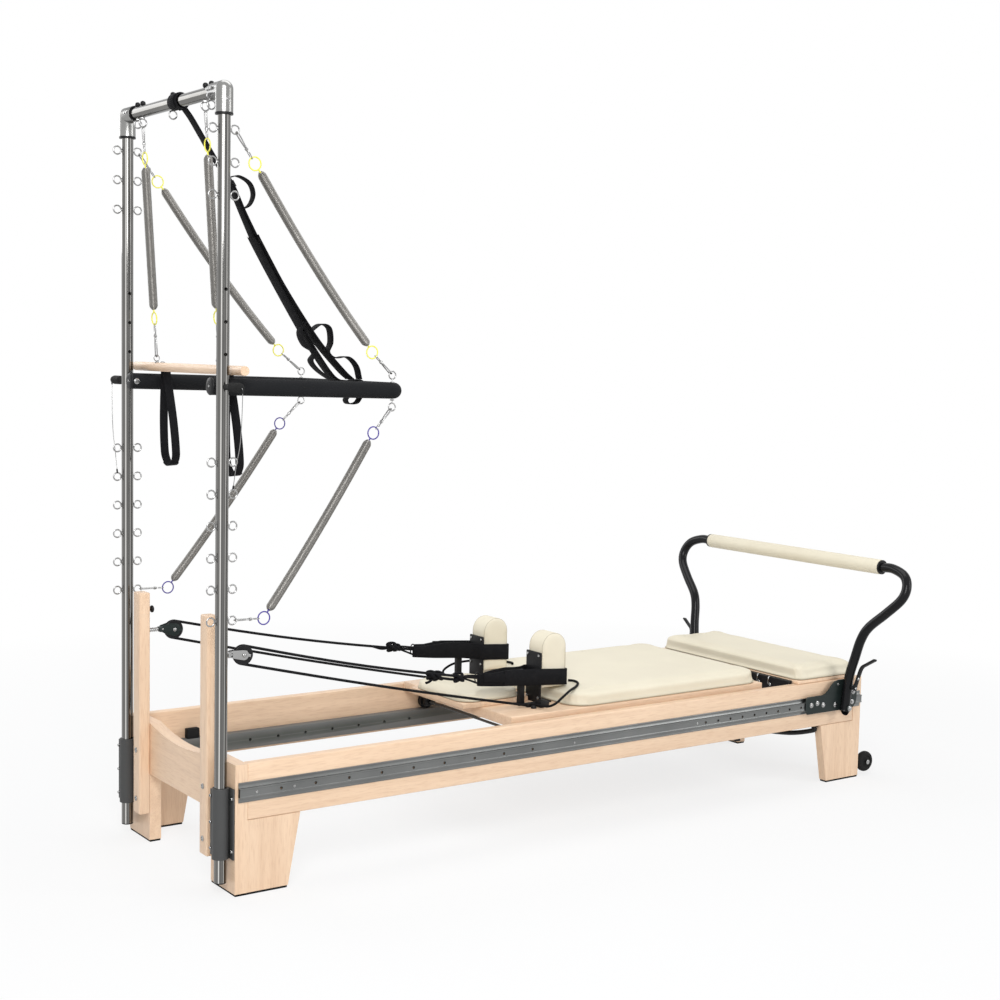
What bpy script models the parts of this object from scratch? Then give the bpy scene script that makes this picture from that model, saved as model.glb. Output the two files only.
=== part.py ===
"""Pilates reformer with a tower at its head end.

A wooden bed on four legs carries a padded carriage that rolls on two inner
tracks.  The tower is two steel uprights with a crossbar, a push-through bar,
a roll-down bar and their springs.  X runs from the head end to the foot end,
Y across the bed and Z up.  The finished model stands on the floor with the
middle of its footprint over the origin.
"""
import math

import bmesh
import bpy
from mathutils import Matrix, Vector

# Clearance between pieces that touch, and play where one turns in another
GAP = 0.0003
PLAY = 0.0006

# Bed
BED_LENGTH = 2.35
BED_WIDTH = 0.70
RAIL_BOTTOM = 0.200
RAIL_TOP = 0.350
RAIL_THICK = 0.030
END_THICK = 0.035
HEAD_DIP = 0.024
HEAD_DIP_HALF = 0.205
LEG_FOOT_LENGTH = 0.155
LEG_TOP_LENGTH = 0.190
LEG_FACE = 0.145
WOOD_ROUND = 0.005

# Tracks along the rails
OUTER_TRACK_LOW = 0.2495
OUTER_TRACK_HIGH = 0.3025
OUTER_TRACK_INSET = 0.008
TRACK_SHEET = 0.0025
RIB_HEIGHT = 0.026
RIB_DEPTH = 0.013
INNER_TRACK_START = 0.10
INNER_TRACK_END = 2.30
INNER_TRACK_LOW = 0.214
INNER_TRACK_HIGH = 0.264
INNER_TRACK_WIDE = 0.030
STOP_X = 0.156
STOP_LENGTH = 0.040
STOP_HEIGHT = 0.030
STOP_WIDE = 0.020

# Tower
UPRIGHT_X = -0.024
UPRIGHT_Y = 0.312
TUBE_R = 0.0165
UPRIGHT_BOTTOM = 0.035
CROSSBAR_Z = 2.067
ELBOW_R = 0.0225
ELBOW_DROP = 0.059
ELBOW_REACH = 0.059
ELBOW_BEND = 0.030
PIVOT_Z = 1.325
SPARE_HOLES_Z = (1.407, 1.489, 1.571)
BOLT_R = 0.004
BORE_R = 0.0048
SLEEVE_LOW = 0.098
SLEEVE_HIGH = 0.286
SLEEVE_R = 0.022
FLANGE_REACH = 0.036
FLANGE_THICK = 0.0042
POST_Y = 0.2245
POST_WIDE = 0.045
POST_THICK = 0.033
POST_LOW = 0.085
POST_HIGH = 0.727
POST_ROUND = 0.003

# Eyes
EYE_R = 0.0108
EYE_WIRE = 0.0017
EYE_REACH = 0.0305
EYE_SINK = 0.002
EYE_SIDES = 6
EYE_FACET = 0.88
EYE_BACK = 0.014
HIGH_EYE_DROP = 0.097
HIGH_EYE_STEP = 0.082
HIGH_EYES = 3
LOW_EYE_Z = 0.723
LOW_EYE_STEP = 0.082
LOW_EYES = 6
LANYARD_EYE = 4
CROSSBAR_EYES_Y = (-0.238, -0.202, 0.0, 0.202, 0.238)
CROSSBAR_EYE_DROP = 0.035
BALL_R = 0.0075

# Springs, with their rings and hooks
SPRING_R = 0.0120
SPRING_WIRE = 0.0020
SPRING_CURLS = 7
CURL_POINTS = 8
RING_R = 0.0145
RING_WIRE = 0.0013
HOOK_HALF = 0.0060
HOOK_WIRE = 0.0015
UPPER_RING_X = 0.0645
UPPER_RING_Y = 0.307
UPPER_RING_DROP = 0.079
UPPER_RING_NEAR_BAR = (0.451, 0.275, 1.429)
LOWER_RING_NEAR_TOWER = (0.099, 0.308, 0.7215)
LOWER_RING_NEAR_BAR = (0.443, 0.2752, 1.2007)

# Push-through bar
PUSH_R = 0.0225
PUSH_ARM_Y = 0.265
PUSH_TAIL_X = -0.036
PUSH_CROSS_X = 0.523
PUSH_CROSS_Z = 1.316
PUSH_CORNER = 0.026
PUSH_EYE_X = 0.508
PUSH_EYE_Y = 0.264
PUSH_EYE_HIGH = 1.3585
PUSH_EYE_LOW = 1.271
SPACER_R = 0.010
BOLT_HEAD_R = 0.008
BOLT_HEAD = 0.004

# Pull pins and their lanyards
PIN_NECK_R = 0.0075
PIN_NECK_END = 0.356
PIN_HEAD_R = 0.0125
PIN_HEAD_END = 0.418
LANYARD_R = 0.0011

# Roll-down bar, which hangs on two springs and leans on the uprights
HANG_LEAN = math.radians(3.7)
HANG_Y = 0.202
HANG_RING_HIGH = 0.092
HANG_RING_LOW = 0.532
ROLL_BAR_DROP = 0.667
ROLL_BAR_R = 0.0125
ROLL_BAR_HALF = 0.352
ROLL_EYE_R = 0.0080
ROLL_EYE_STEM = 0.0045
HAND_LOOP_TOP = 0.665
HAND_LOOP_BOTTOM = 0.947
HAND_LOOP_HALF = 0.034
HAND_STRAP_WIDE = 0.024
HAND_STRAP_THICK = 0.003

# Safety strap
STRAP_Y = -0.0345
STRAP_WIDE = 0.038
STRAP_THICK = 0.003

# Ropes and pulleys
SHEAVE_X = 0.080
SHEAVE_Z = 0.612
SHEAVE_R = 0.027
SHEAVE_WIDE = 0.014
ROPE_R = 0.004
ROPE_TURN_R = 0.024
CHEEK_R = 0.022
CHEEK_THICK = 0.0025
LINK_R = 0.006
YOKE_LENGTH = 0.012
SHEAVE_LIP = 0.0015

# Carriage
CARRIAGE_LENGTH = 1.018
CARRIAGE_CLEAR = 0.100
CARRIAGE_SIDE_CLEAR = 0.020
CARRIAGE_LOW = 0.330
CARRIAGE_TOP = 0.3623
ROLLER_R = 0.024
ROLLER_WIDE = 0.020
FRONT_ROLLER_INSET = 0.088
REAR_ROLLER_INSET = 0.080
AXLE_R = 0.0042
BRACKET_HALF = 0.020
MAIN_PAD_LENGTH = 0.781
PAD_TOP = 0.4050
MAIN_PAD_CORNER = 0.070
SMALL_PAD_CORNER = 0.030
PAD_CROWN = 0.004
PAD_TUCK = 0.004
HEADREST_LENGTH = 0.240
HEADREST_CLEAR = 0.064
HEADREST_HALF = 0.146
HEADREST_BOARD = 0.016
HEADREST_CORNER = 0.075
HEADREST_PAD_SHORT = 0.016
HEADREST_TOP = 0.407
REST_INSET = 0.049
REST_DEEP = 0.095
REST_INNER = 0.118
REST_OUTER = 0.193
REST_LOW = 0.407
REST_HIGH = 0.579
REST_ROUND = 0.006
PLATE_THICK = 0.0057
PLATE_HIGH = 0.520
PLATE_FOOT = 0.046
PLATE_INSET = 0.001
PEG_AHEAD = 0.063
PEG_Y = 0.172
PEG_WIDE = 0.018
PEG_HIGH = 0.500
CLEAT_AHEAD = 0.055
CLEAT_Y = 0.2145
CLEAT_LENGTH = 0.034
CLEAT_WIDE = 0.014
CLEAT_HIGH = 0.014
LOOP_AHEAD = 0.228
LOOP_LOW = 0.438
LOOP_HIGH = 0.488
LOOP_THICK = 0.004
LOOP_INNER_Y = 0.157
LOOP_MIDDLE_Y = 0.181
CARRIAGE_SPRING_STEP = 0.070
CARRIAGE_SPRINGS = 5
CARRIAGE_SPRING_R = 0.012
SPRING_ANCHOR_INSET = 0.480
SPRING_ANCHOR_DEEP = 0.012

# Platform and spring bar
PLATFORM_LENGTH = 0.270
PLATFORM_INSET = 0.030
PLATFORM_HALF = 0.345
PLATFORM_THICK = 0.012
PLATFORM_PAD_TOP = 0.408
SPRING_BAR_AHEAD = 0.020
SPRING_BAR_DEEP = 0.018
SPRING_BAR_LOW = 0.300
SPRING_BAR_HIGH = 0.360
SPRING_BUTTON_R = 0.006
SPRING_BUTTON = 0.010

# Footbar
FOOTBAR_INSET = 0.113
FOOTBAR_Z = 0.261
FOOTBAR_TILT = math.radians(13.2)
FOOTBAR_R = 0.016
FOOTBAR_BOW = 0.020
FOOTBAR_TOP = 0.487
FOOTBAR_SIDE = ((0.100, 0.0014), (0.177, 0.0154), (0.240, 0.0274), (0.285, 0.0504),
                (0.340, 0.1079), (0.392, 0.1554), (0.434, 0.1629), (0.469, 0.1404))
FOOTBAR_IN = 0.0879
FOOTBAR_TAIL = 0.014
SLEEVE_GRIP_R = 0.025
SLEEVE_GRIP_HALF = 0.420
BRACKET_THICK = 0.005
BRACKET_LENGTH = 0.240
BRACKET_INSET = 0.040
BRACKET_LOW = 0.250
BRACKET_STEP = 0.309
BRACKET_HIGH = 0.354
FOOT_AXLE_R = 0.005
LEVER_R = 0.005
LEVER_BOSS = 0.0009
LEVER_S = 0.072
LEVER_WIDE = 0.015
LEVER_THICK = 0.004
LEVER_AHEAD = 0.006
LEVER_STAND = 0.006
LEVER_TAIL = 0.008
LEVER_BEND = 0.075
LEVER_BEND_OUT = 0.012
LEVER_RISE = 0.108
LEVER_OUT = 0.062

# Wheels and the bow under the bed
WHEEL_BEHIND = 0.044
WHEEL_Y = 0.338
WHEEL_Z = 0.046
WHEEL_R = 0.035
WHEEL_WIDE = 0.0245
BOW_INSET = 0.200
BOW_R = 0.008
BOW_LOW = 0.128
BOW_BEND = 0.030

# Places that follow from the sizes above
PLATFORM_FOOT = BED_LENGTH - PLATFORM_INSET
PLATFORM_HEAD = PLATFORM_FOOT - PLATFORM_LENGTH
SPRING_BAR_X = PLATFORM_HEAD - SPRING_BAR_AHEAD
CARRIAGE_FOOT = SPRING_BAR_X - CARRIAGE_CLEAR
CARRIAGE_HEAD = CARRIAGE_FOOT - CARRIAGE_LENGTH
FRONT_ROLLER_X = CARRIAGE_HEAD + FRONT_ROLLER_INSET
REAR_ROLLER_X = CARRIAGE_FOOT - REAR_ROLLER_INSET
SPRING_ANCHOR_X = CARRIAGE_FOOT - SPRING_ANCHOR_INSET
MAIN_PAD_HEAD = CARRIAGE_FOOT - MAIN_PAD_LENGTH
HEADREST_FOOT = MAIN_PAD_HEAD - HEADREST_CLEAR
HEADREST_HEAD = HEADREST_FOOT - HEADREST_LENGTH
REST_X = MAIN_PAD_HEAD - REST_INSET
PEG_X = REST_X - PEG_AHEAD
CLEAT_X = REST_X - CLEAT_AHEAD
LOOP_HEAD_X = REST_X - LOOP_AHEAD
FOOTBAR_X = BED_LENGTH - FOOTBAR_INSET
BRACKET_FOOT = BED_LENGTH - BRACKET_INSET
BRACKET_HEAD = BRACKET_FOOT - BRACKET_LENGTH
WHEEL_X = BED_LENGTH + WHEEL_BEHIND
BOW_X = BED_LENGTH - BOW_INSET
RAIL_OUT = BED_WIDTH / 2
RAIL_IN = RAIL_OUT - RAIL_THICK
CARRIAGE_HALF = RAIL_IN - CARRIAGE_SIDE_CLEAR
OUTER_TRACK_MID = (OUTER_TRACK_LOW + OUTER_TRACK_HIGH) / 2
OUTER_TRACK_FACE = RAIL_OUT + RIB_DEPTH
INNER_TRACK_OUT = RAIL_IN - GAP
INNER_TRACK_IN = INNER_TRACK_OUT - INNER_TRACK_WIDE
ROLLER_Y = (INNER_TRACK_IN + INNER_TRACK_OUT) / 2
ROLLER_Z = INNER_TRACK_HIGH + GAP + ROLLER_R
SLIDE_REACH = FRONT_ROLLER_X - ROLLER_R - STOP_X - STOP_LENGTH - GAP
PUSH_SLOPE = math.atan2(PIVOT_Z - PUSH_CROSS_Z, PUSH_CROSS_X - UPRIGHT_X)
CROSSBAR_EYE_Z = CROSSBAR_Z - CROSSBAR_EYE_DROP
HIGH_EYE_Z = CROSSBAR_Z - HIGH_EYE_DROP
UPPER_RING_NEAR_TOWER = (UPPER_RING_X, UPPER_RING_Y, HIGH_EYE_Z - UPPER_RING_DROP)
CARRIAGE_SPRING_Z = CARRIAGE_LOW - CARRIAGE_SPRING_R - 2 * GAP
ARM_OUT = OUTER_TRACK_FACE + 2 * GAP + BRACKET_THICK + FOOTBAR_R
SIDES = (-1, 1)
SIDE_NAMES = {-1: "near", 1: "far"}


def clear_scene():
    """Remove every object and its data from the open file."""
    for thing in list(bpy.data.objects):
        bpy.data.objects.remove(thing, do_unlink=True)
    for store in (bpy.data.meshes, bpy.data.curves, bpy.data.materials):
        for block in list(store):
            store.remove(block)
    for group in list(bpy.data.collections):
        bpy.data.collections.remove(group)


def make_material(name, colour, roughness, metallic=0.0):
    """One Principled material, named for the piece that wears it."""
    paint = bpy.data.materials.new(name)
    paint.use_nodes = True
    shader = paint.node_tree.nodes["Principled BSDF"]
    shader.inputs["Base Color"].default_value = (*colour, 1.0)
    shader.inputs["Roughness"].default_value = roughness
    shader.inputs["Metallic"].default_value = metallic
    return paint


MAPLE = ((0.78, 0.62, 0.43), 0.45, 0.0)
CREAM = ((0.80, 0.74, 0.62), 0.55, 0.0)
BLACK = ((0.02, 0.02, 0.022), 0.45, 0.0)
FOAM = ((0.03, 0.03, 0.032), 0.85, 0.0)
WEBBING = ((0.025, 0.025, 0.028), 0.9, 0.0)
STEEL = ((0.66, 0.66, 0.67), 0.22, 1.0)
ALUMINIUM = ((0.72, 0.72, 0.73), 0.35, 1.0)
DARK_STEEL = ((0.12, 0.12, 0.13), 0.35, 1.0)
GREY_PAINT = ((0.16, 0.165, 0.17), 0.5, 0.0)
RUBBER = ((0.03, 0.03, 0.03), 0.8, 0.0)
ROPE = ((0.05, 0.05, 0.055), 0.85, 0.0)


# Shapes as bmesh data, in the bed's own coordinates

def box(x0, x1, y0, y1, z0, z1):
    """A cube primitive stretched between six planes."""
    shape = bmesh.new()
    middle = Vector(((x0 + x1) / 2, (y0 + y1) / 2, (z0 + z1) / 2))
    size = Matrix.Diagonal((x1 - x0, y1 - y0, z1 - z0, 1.0))
    bmesh.ops.create_cube(shape, size=1.0, matrix=Matrix.Translation(middle) @ size)
    return shape


def side_box(side, x0, x1, inner, outer, z0, z1):
    """A box whose Y planes are distances out from the middle, on one side."""
    near, far = sorted((side * inner, side * outer))
    return box(x0, x1, near, far, z0, z1)


def turn_to(direction, up=Vector((0, 1, 0))):
    """The turn that takes +Z to a direction and keeps +Y near another one."""
    along = Vector(direction).normalized()
    across = Vector(up).cross(along).normalized()
    return Matrix((across, along.cross(across), along)).transposed().to_4x4()


def rod(start, end, radius, sides=12, end_radius=None):
    """A cylinder, or a cone, between two points."""
    start, end = Vector(start), Vector(end)
    up = Vector((0, 1, 0)) if abs((end - start).normalized().y) < 0.9 else Vector((1, 0, 0))
    shape = bmesh.new()
    place = Matrix.Translation((start + end) / 2) @ turn_to(end - start, up)
    bmesh.ops.create_cone(shape, cap_ends=True, segments=sides, radius1=radius,
                          radius2=radius if end_radius is None else end_radius,
                          depth=(end - start).length, matrix=place)
    return shape


def ball(centre, radius, around=6, up_steps=4):
    """A low sphere."""
    shape = bmesh.new()
    bmesh.ops.create_uvsphere(shape, u_segments=around, v_segments=up_steps, radius=radius,
                              matrix=Matrix.Translation(centre))
    return shape


def take_mesh(thing):
    """The evaluated mesh of a helper object as bmesh data; the helper is removed."""
    bpy.context.view_layer.update()
    graph = bpy.context.evaluated_depsgraph_get()
    mesh = bpy.data.meshes.new_from_object(thing.evaluated_get(graph))
    shape = bmesh.new()
    shape.from_mesh(mesh)
    bmesh.ops.transform(shape, matrix=thing.matrix_world, verts=shape.verts)
    data = thing.data
    bpy.data.objects.remove(thing, do_unlink=True)
    bpy.data.meshes.remove(mesh)
    (bpy.data.curves if isinstance(data, bpy.types.Curve) else bpy.data.meshes).remove(data)
    return shape


def wire(points, radius, resolution=0, closed=False):
    """A round tube along a list of points, with filled ends."""
    curve = bpy.data.curves.new("wire", 'CURVE')
    curve.dimensions = '3D'
    curve.bevel_depth = radius
    curve.bevel_resolution = resolution
    curve.use_fill_caps = not closed
    line = curve.splines.new('POLY')
    line.points.add(len(points) - 1)
    for spot, point in zip(line.points, points):
        spot.co = (*point, 1.0)
    line.use_cyclic_u = closed
    helper = bpy.data.objects.new("wire", curve)
    bpy.context.scene.collection.objects.link(helper)
    shape = take_mesh(helper)
    bmesh.ops.remove_doubles(shape, verts=shape.verts, dist=1e-6)
    return outward(shape)


def plate(outlines, thickness, place):
    """A flat outline, with any holes, given a thickness along its own Z."""
    curve = bpy.data.curves.new("plate", 'CURVE')
    curve.dimensions = '2D'
    curve.fill_mode = 'BOTH'
    curve.extrude = thickness / 2
    for outline in outlines:
        line = curve.splines.new('POLY')
        line.points.add(len(outline) - 1)
        for spot, (u, v) in zip(line.points, outline):
            spot.co = (u, v, 0.0, 1.0)
        line.use_cyclic_u = True
    helper = bpy.data.objects.new("plate", curve)
    helper.matrix_world = place
    bpy.context.scene.collection.objects.link(helper)
    shape = take_mesh(helper)
    bmesh.ops.remove_doubles(shape, verts=shape.verts, dist=1e-6)
    return outward(shape)


def lathe(profile, centre, direction, steps=16):
    """A profile of (radius, distance) points turned about an axis.

    A profile that starts and ends on the axis is solid, any other one is bored.
    """
    shape = bmesh.new()
    rim = [shape.verts.new((radius, 0.0, distance)) for radius, distance in profile]
    first = 0 if profile[0][0] > 0 else 1
    loop = [shape.edges.new((rim[i], rim[i - 1])) for i in range(first, len(rim))]
    bmesh.ops.spin(shape, geom=rim + loop, cent=(0, 0, 0), axis=(0, 0, 1),
                   angle=math.tau, steps=steps, use_merge=True)
    bmesh.ops.remove_doubles(shape, verts=shape.verts, dist=1e-6)
    bmesh.ops.dissolve_degenerate(shape, dist=1e-6, edges=shape.edges)
    up = Vector((0, 0, 1)) if abs(Vector(direction).normalized().z) < 0.9 else Vector((1, 0, 0))
    bmesh.ops.transform(shape, matrix=Matrix.Translation(centre) @ turn_to(direction, up),
                        verts=shape.verts)
    return outward(shape)


def outward(shape):
    """The same shape with its faces pointing out."""
    bmesh.ops.recalc_face_normals(shape, faces=shape.faces)
    return shape


def together(*shapes):
    """Several closed shapes as one mesh, each still a body of its own."""
    mesh = bpy.data.meshes.new("together")
    whole = bmesh.new()
    for shape in shapes:
        shape.to_mesh(mesh)
        whole.from_mesh(mesh)
        shape.free()
    bpy.data.meshes.remove(mesh)
    return whole


def combine(base, tool, operation):
    """The exact union or difference of two closed shapes."""
    pair = []
    for label, shape in (("base", base), ("tool", tool)):
        mesh = bpy.data.meshes.new(label)
        shape.to_mesh(mesh)
        shape.free()
        helper = bpy.data.objects.new(label, mesh)
        bpy.context.scene.collection.objects.link(helper)
        pair.append(helper)
    joiner = pair[0].modifiers.new("combine", 'BOOLEAN')
    joiner.operation = operation
    joiner.solver = 'EXACT'
    joiner.object = pair[1]
    result = take_mesh(pair[0])
    mesh = pair[1].data
    bpy.data.objects.remove(pair[1], do_unlink=True)
    bpy.data.meshes.remove(mesh)
    bmesh.ops.remove_doubles(result, verts=result.verts, dist=1e-6)
    return result


def fuse(*shapes):
    """One body from shapes that overlap."""
    whole = shapes[0]
    for shape in shapes[1:]:
        whole = combine(whole, shape, 'UNION')
    return whole


def cut(shape, *tools):
    """A shape with other shapes taken out of it."""
    for tool in tools:
        shape = combine(shape, tool, 'DIFFERENCE')
    return shape


def smooth_route(points, steps):
    """A smooth curve through chosen points, read at even steps between each two."""
    spots = [Vector(point) for point in points]
    spots = [2 * spots[0] - spots[1]] + spots + [2 * spots[-1] - spots[-2]]
    route = []
    for i in range(1, len(spots) - 2):
        a, b, c, d = spots[i - 1:i + 3]
        for k in range(steps):
            t = k / steps
            route.append(0.5 * (2 * b + (c - a) * t + (2 * a - 5 * b + 4 * c - d) * t ** 2
                                + (3 * b - a - 3 * c + d) * t ** 3))
    route.append(spots[-2])
    return route


def rounded_route(points, radius, steps=4):
    """A line of straight runs whose corners are arcs."""
    spots = [Vector(point) for point in points]
    route = [spots[0]]
    for before, corner, after in zip(spots, spots[1:], spots[2:]):
        inward, outgo = (before - corner).normalized(), (after - corner).normalized()
        half = inward.angle(outgo) / 2
        centre = corner + (inward + outgo).normalized() * radius / math.sin(half)
        reach = radius / math.tan(half)
        start = (corner + inward * reach - centre).normalized()
        end = (corner + outgo * reach - centre).normalized()
        for k in range(steps + 1):
            route.append(centre + start.slerp(end, k / steps) * radius)
    route.append(spots[-1])
    return route


def cushion(x_half, y_half, height, corner, crown, tuck):
    """A sewn pad on z = 0: rounded corners, drawn-in sides, a seam and a crowned top.

    Its widest line is the seam, at x_half and y_half, and its top is height.
    """
    shape = bmesh.new()
    bmesh.ops.create_cube(shape, size=2.0)
    for axis, half in ((Vector((1, 0, 0)), x_half), (Vector((0, 1, 0)), y_half)):
        inner = 1 - corner / half
        for place in (-1 + corner / half / 2, -inner, 0.0, inner, 1 - corner / half / 2):
            geometry = shape.verts[:] + shape.edges[:] + shape.faces[:]
            bmesh.ops.bisect_plane(shape, geom=geometry, plane_co=axis * place, plane_no=axis)
    levels = (-0.55, 0.35, 0.75)
    for level in levels:
        geometry = shape.verts[:] + shape.edges[:] + shape.faces[:]
        bmesh.ops.bisect_plane(shape, geom=geometry, plane_co=(0, 0, level), plane_no=(0, 0, 1))
    draws = {-1.0: tuck, -0.55: 0.3 * tuck, 0.35: 0.0, 0.75: 0.25 * tuck, 1.0: tuck}
    for vert in shape.verts:
        u, v, w = vert.co
        draw = min((abs(w - key), value) for key, value in draws.items())[1]
        x, y = u * x_half, v * y_half
        dx, dy = abs(x) - (x_half - corner), abs(y) - (y_half - corner)
        if dx > 1e-9 and dy > 1e-9:
            ease = max(dx, dy) / math.hypot(dx, dy)
            x = math.copysign(x_half - corner + dx * ease, x)
            y = math.copysign(y_half - corner + dy * ease, y)
        top = height - crown * (1 - (1 - u ** 4) * (1 - v ** 4))
        vert.co = (x * (1 - draw / x_half), y * (1 - draw / y_half), (w + 1) / 2 * top)
    return outward(shape)


# Objects, joint empties and materials

parts = None
root = None


def make_empty(name, spot, parent=None, turn=(0.0, 0.0, 0.0)):
    """An empty at a joint's axis, given in the bed's coordinates."""
    empty = bpy.data.objects.new(name, None)
    empty.empty_display_size = 0.05
    parts.objects.link(empty)
    empty.parent = parent
    bpy.context.view_layer.update()
    place = Matrix.Translation(spot)
    if parent is not None:
        place = parent.matrix_world.inverted() @ place
    empty.location = place.to_translation()
    empty.rotation_euler = turn
    bpy.context.view_layer.update()
    return empty


def make_part(name, shape, finish, body, bevel=0.0, segments=1):
    """One named object whose origin is its body's empty."""
    outward(shape)
    bmesh.ops.transform(shape, matrix=body.matrix_world.inverted(), verts=shape.verts)
    mesh = bpy.data.meshes.new(name)
    shape.to_mesh(mesh)
    shape.free()
    mesh.materials.append(make_material(name, *finish))
    mesh.shade_smooth()
    mesh.set_sharp_from_angle(angle=math.radians(35))
    part = bpy.data.objects.new(name, mesh)
    parts.objects.link(part)
    part.parent = body
    if bevel:
        edge = part.modifiers.new("round edges", 'BEVEL')
        edge.width = bevel
        edge.segments = segments
        edge.limit_method = 'ANGLE'
        edge.angle_limit = math.radians(50)
        edge.use_clamp_overlap = True
    return part


# Bed

def leg_shape(side, foot_end):
    """A side panel with a sloping inner edge and a block across the end, as one body."""
    outline = [(0.0, 0.0), (LEG_FOOT_LENGTH, 0.0), (LEG_TOP_LENGTH, RAIL_BOTTOM - GAP),
               (0.0, RAIL_BOTTOM - GAP)]
    if foot_end:
        outline = [(BED_LENGTH - u, v) for u, v in outline]
    facing = Matrix.Rotation(math.pi / 2, 4, 'X')
    middle = Matrix.Translation((0, side * (RAIL_OUT - RAIL_THICK / 2), 0))
    panel = plate([outline], RAIL_THICK, middle @ facing)
    start = BED_LENGTH - END_THICK if foot_end else 0.0
    block = side_box(side, start, start + END_THICK, RAIL_OUT - LEG_FACE, RAIL_OUT, 0.0,
                     RAIL_BOTTOM + WOOD_ROUND)
    return fuse(panel, block)


def wheel_bracket(side):
    """A plate on a foot leg's end face with an arm and an axle for a wheel."""
    arm_in = WHEEL_Y - WHEEL_WIDE / 2 - PLAY - BRACKET_THICK
    start = BED_LENGTH - BRACKET_THICK
    base = side_box(side, start, BED_LENGTH + BRACKET_THICK, arm_in - 4 * BRACKET_THICK,
                    arm_in + BRACKET_THICK, WHEEL_Z - 5 * AXLE_R, WHEEL_Z + 14 * AXLE_R)
    arm = side_box(side, start, WHEEL_X + 2 * AXLE_R, arm_in, arm_in + BRACKET_THICK,
                   WHEEL_Z - 3 * AXLE_R, WHEEL_Z + 3 * AXLE_R)
    axle = rod((WHEEL_X, side * (arm_in + BRACKET_THICK / 2), WHEEL_Z),
               (WHEEL_X, side * (WHEEL_Y + WHEEL_WIDE / 2 + BOLT_HEAD), WHEEL_Z), AXLE_R, 8)
    return fuse(base, arm, axle)


def build_bed(frame):
    """Side rails, and the two ends, each a board glued to its legs."""
    for side in SIDES:
        rail = side_box(side, END_THICK + GAP, BED_LENGTH - END_THICK - GAP, RAIL_IN, RAIL_OUT,
                        RAIL_BOTTOM, RAIL_TOP)
        make_part(f"side_rail_{SIDE_NAMES[side]}", rail, MAPLE, frame, WOOD_ROUND)

    board = box(0.0, END_THICK, -RAIL_OUT, RAIL_OUT, RAIL_BOTTOM, RAIL_TOP)
    dip_r = (HEAD_DIP_HALF ** 2 + HEAD_DIP ** 2) / (2 * HEAD_DIP)
    dip_z = RAIL_TOP - HEAD_DIP + dip_r
    dip = rod((-END_THICK, 0, dip_z), (2 * END_THICK, 0, dip_z), dip_r, sides=96)
    head_end = fuse(cut(board, dip), *(leg_shape(side, False) for side in SIDES))
    make_part("head_end", head_end, MAPLE, frame, WOOD_ROUND)
    board = box(BED_LENGTH - END_THICK, BED_LENGTH, -RAIL_OUT, RAIL_OUT, RAIL_BOTTOM, RAIL_TOP)
    foot_end = fuse(board, *(leg_shape(side, True) for side in SIDES),
                    *(wheel_bracket(side) for side in SIDES))
    make_part("foot_end", foot_end, MAPLE, frame)


def track_profile():
    """Half of it is a flat lip on the rail, the middle a hollow rib standing out."""
    low, high = OUTER_TRACK_LOW, OUTER_TRACK_HIGH
    rib_low, rib_high = OUTER_TRACK_MID - RIB_HEIGHT / 2, OUTER_TRACK_MID + RIB_HEIGHT / 2
    sheet = TRACK_SHEET
    return [(GAP, low), (GAP + sheet, low), (GAP + sheet, rib_low), (RIB_DEPTH, rib_low),
            (RIB_DEPTH, rib_high), (GAP + sheet, rib_high), (GAP + sheet, high), (GAP, high),
            (GAP, rib_high - sheet), (RIB_DEPTH - sheet, rib_high - sheet),
            (RIB_DEPTH - sheet, rib_low + sheet), (GAP, rib_low + sheet)]


def build_tracks(frame):
    """Aluminium tracks outside the rails; steel ones inside, with the carriage's stops."""
    length = BED_LENGTH - 2 * OUTER_TRACK_INSET
    stand = Matrix(((0, 0, 1, BED_LENGTH / 2), (1, 0, 0, 0), (0, 1, 0, 0), (0, 0, 0, 1)))
    for side in SIDES:
        outline = [(side * (RAIL_OUT + u), v) for u, v in track_profile()]
        track = plate([outline], length, stand)
        make_part(f"outer_track_{SIDE_NAMES[side]}", track, ALUMINIUM, frame)

        track = side_box(side, INNER_TRACK_START, INNER_TRACK_END, INNER_TRACK_IN,
                         INNER_TRACK_OUT, INNER_TRACK_LOW, INNER_TRACK_HIGH)
        stops = [side_box(side, start, start + STOP_LENGTH, ROLLER_Y - STOP_WIDE / 2,
                          ROLLER_Y + STOP_WIDE / 2, INNER_TRACK_HIGH - GAP,
                          INNER_TRACK_HIGH + STOP_HEIGHT)
                 for start in (STOP_X, REAR_ROLLER_X + ROLLER_R + GAP)]
        make_part(f"inner_track_{SIDE_NAMES[side]}", fuse(track, *stops), GREY_PAINT, frame)


def build_bow(frame):
    """The bow tube that hangs between the rails below the platform."""
    end_y = RAIL_IN + BOW_R + GAP
    top = RAIL_BOTTOM - GAP
    turn = BOW_BEND * 0.7
    half = [(BOW_X, -end_y, top - BOW_R), (BOW_X, -end_y + turn * 0.35, top - turn),
            (BOW_X, -end_y * 0.6, BOW_LOW + BOW_BEND * 0.6)]
    other = [(x, -y, z) for x, y, z in reversed(half)]
    path = smooth_route([*half, (BOW_X, 0.0, BOW_LOW), *other], 2)
    path = [Vector((BOW_X, -end_y, top)), *path, Vector((BOW_X, end_y, top))]
    make_part("bow_tube", wire(path, BOW_R, 2), GREY_PAINT, frame)


# Tower

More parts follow.
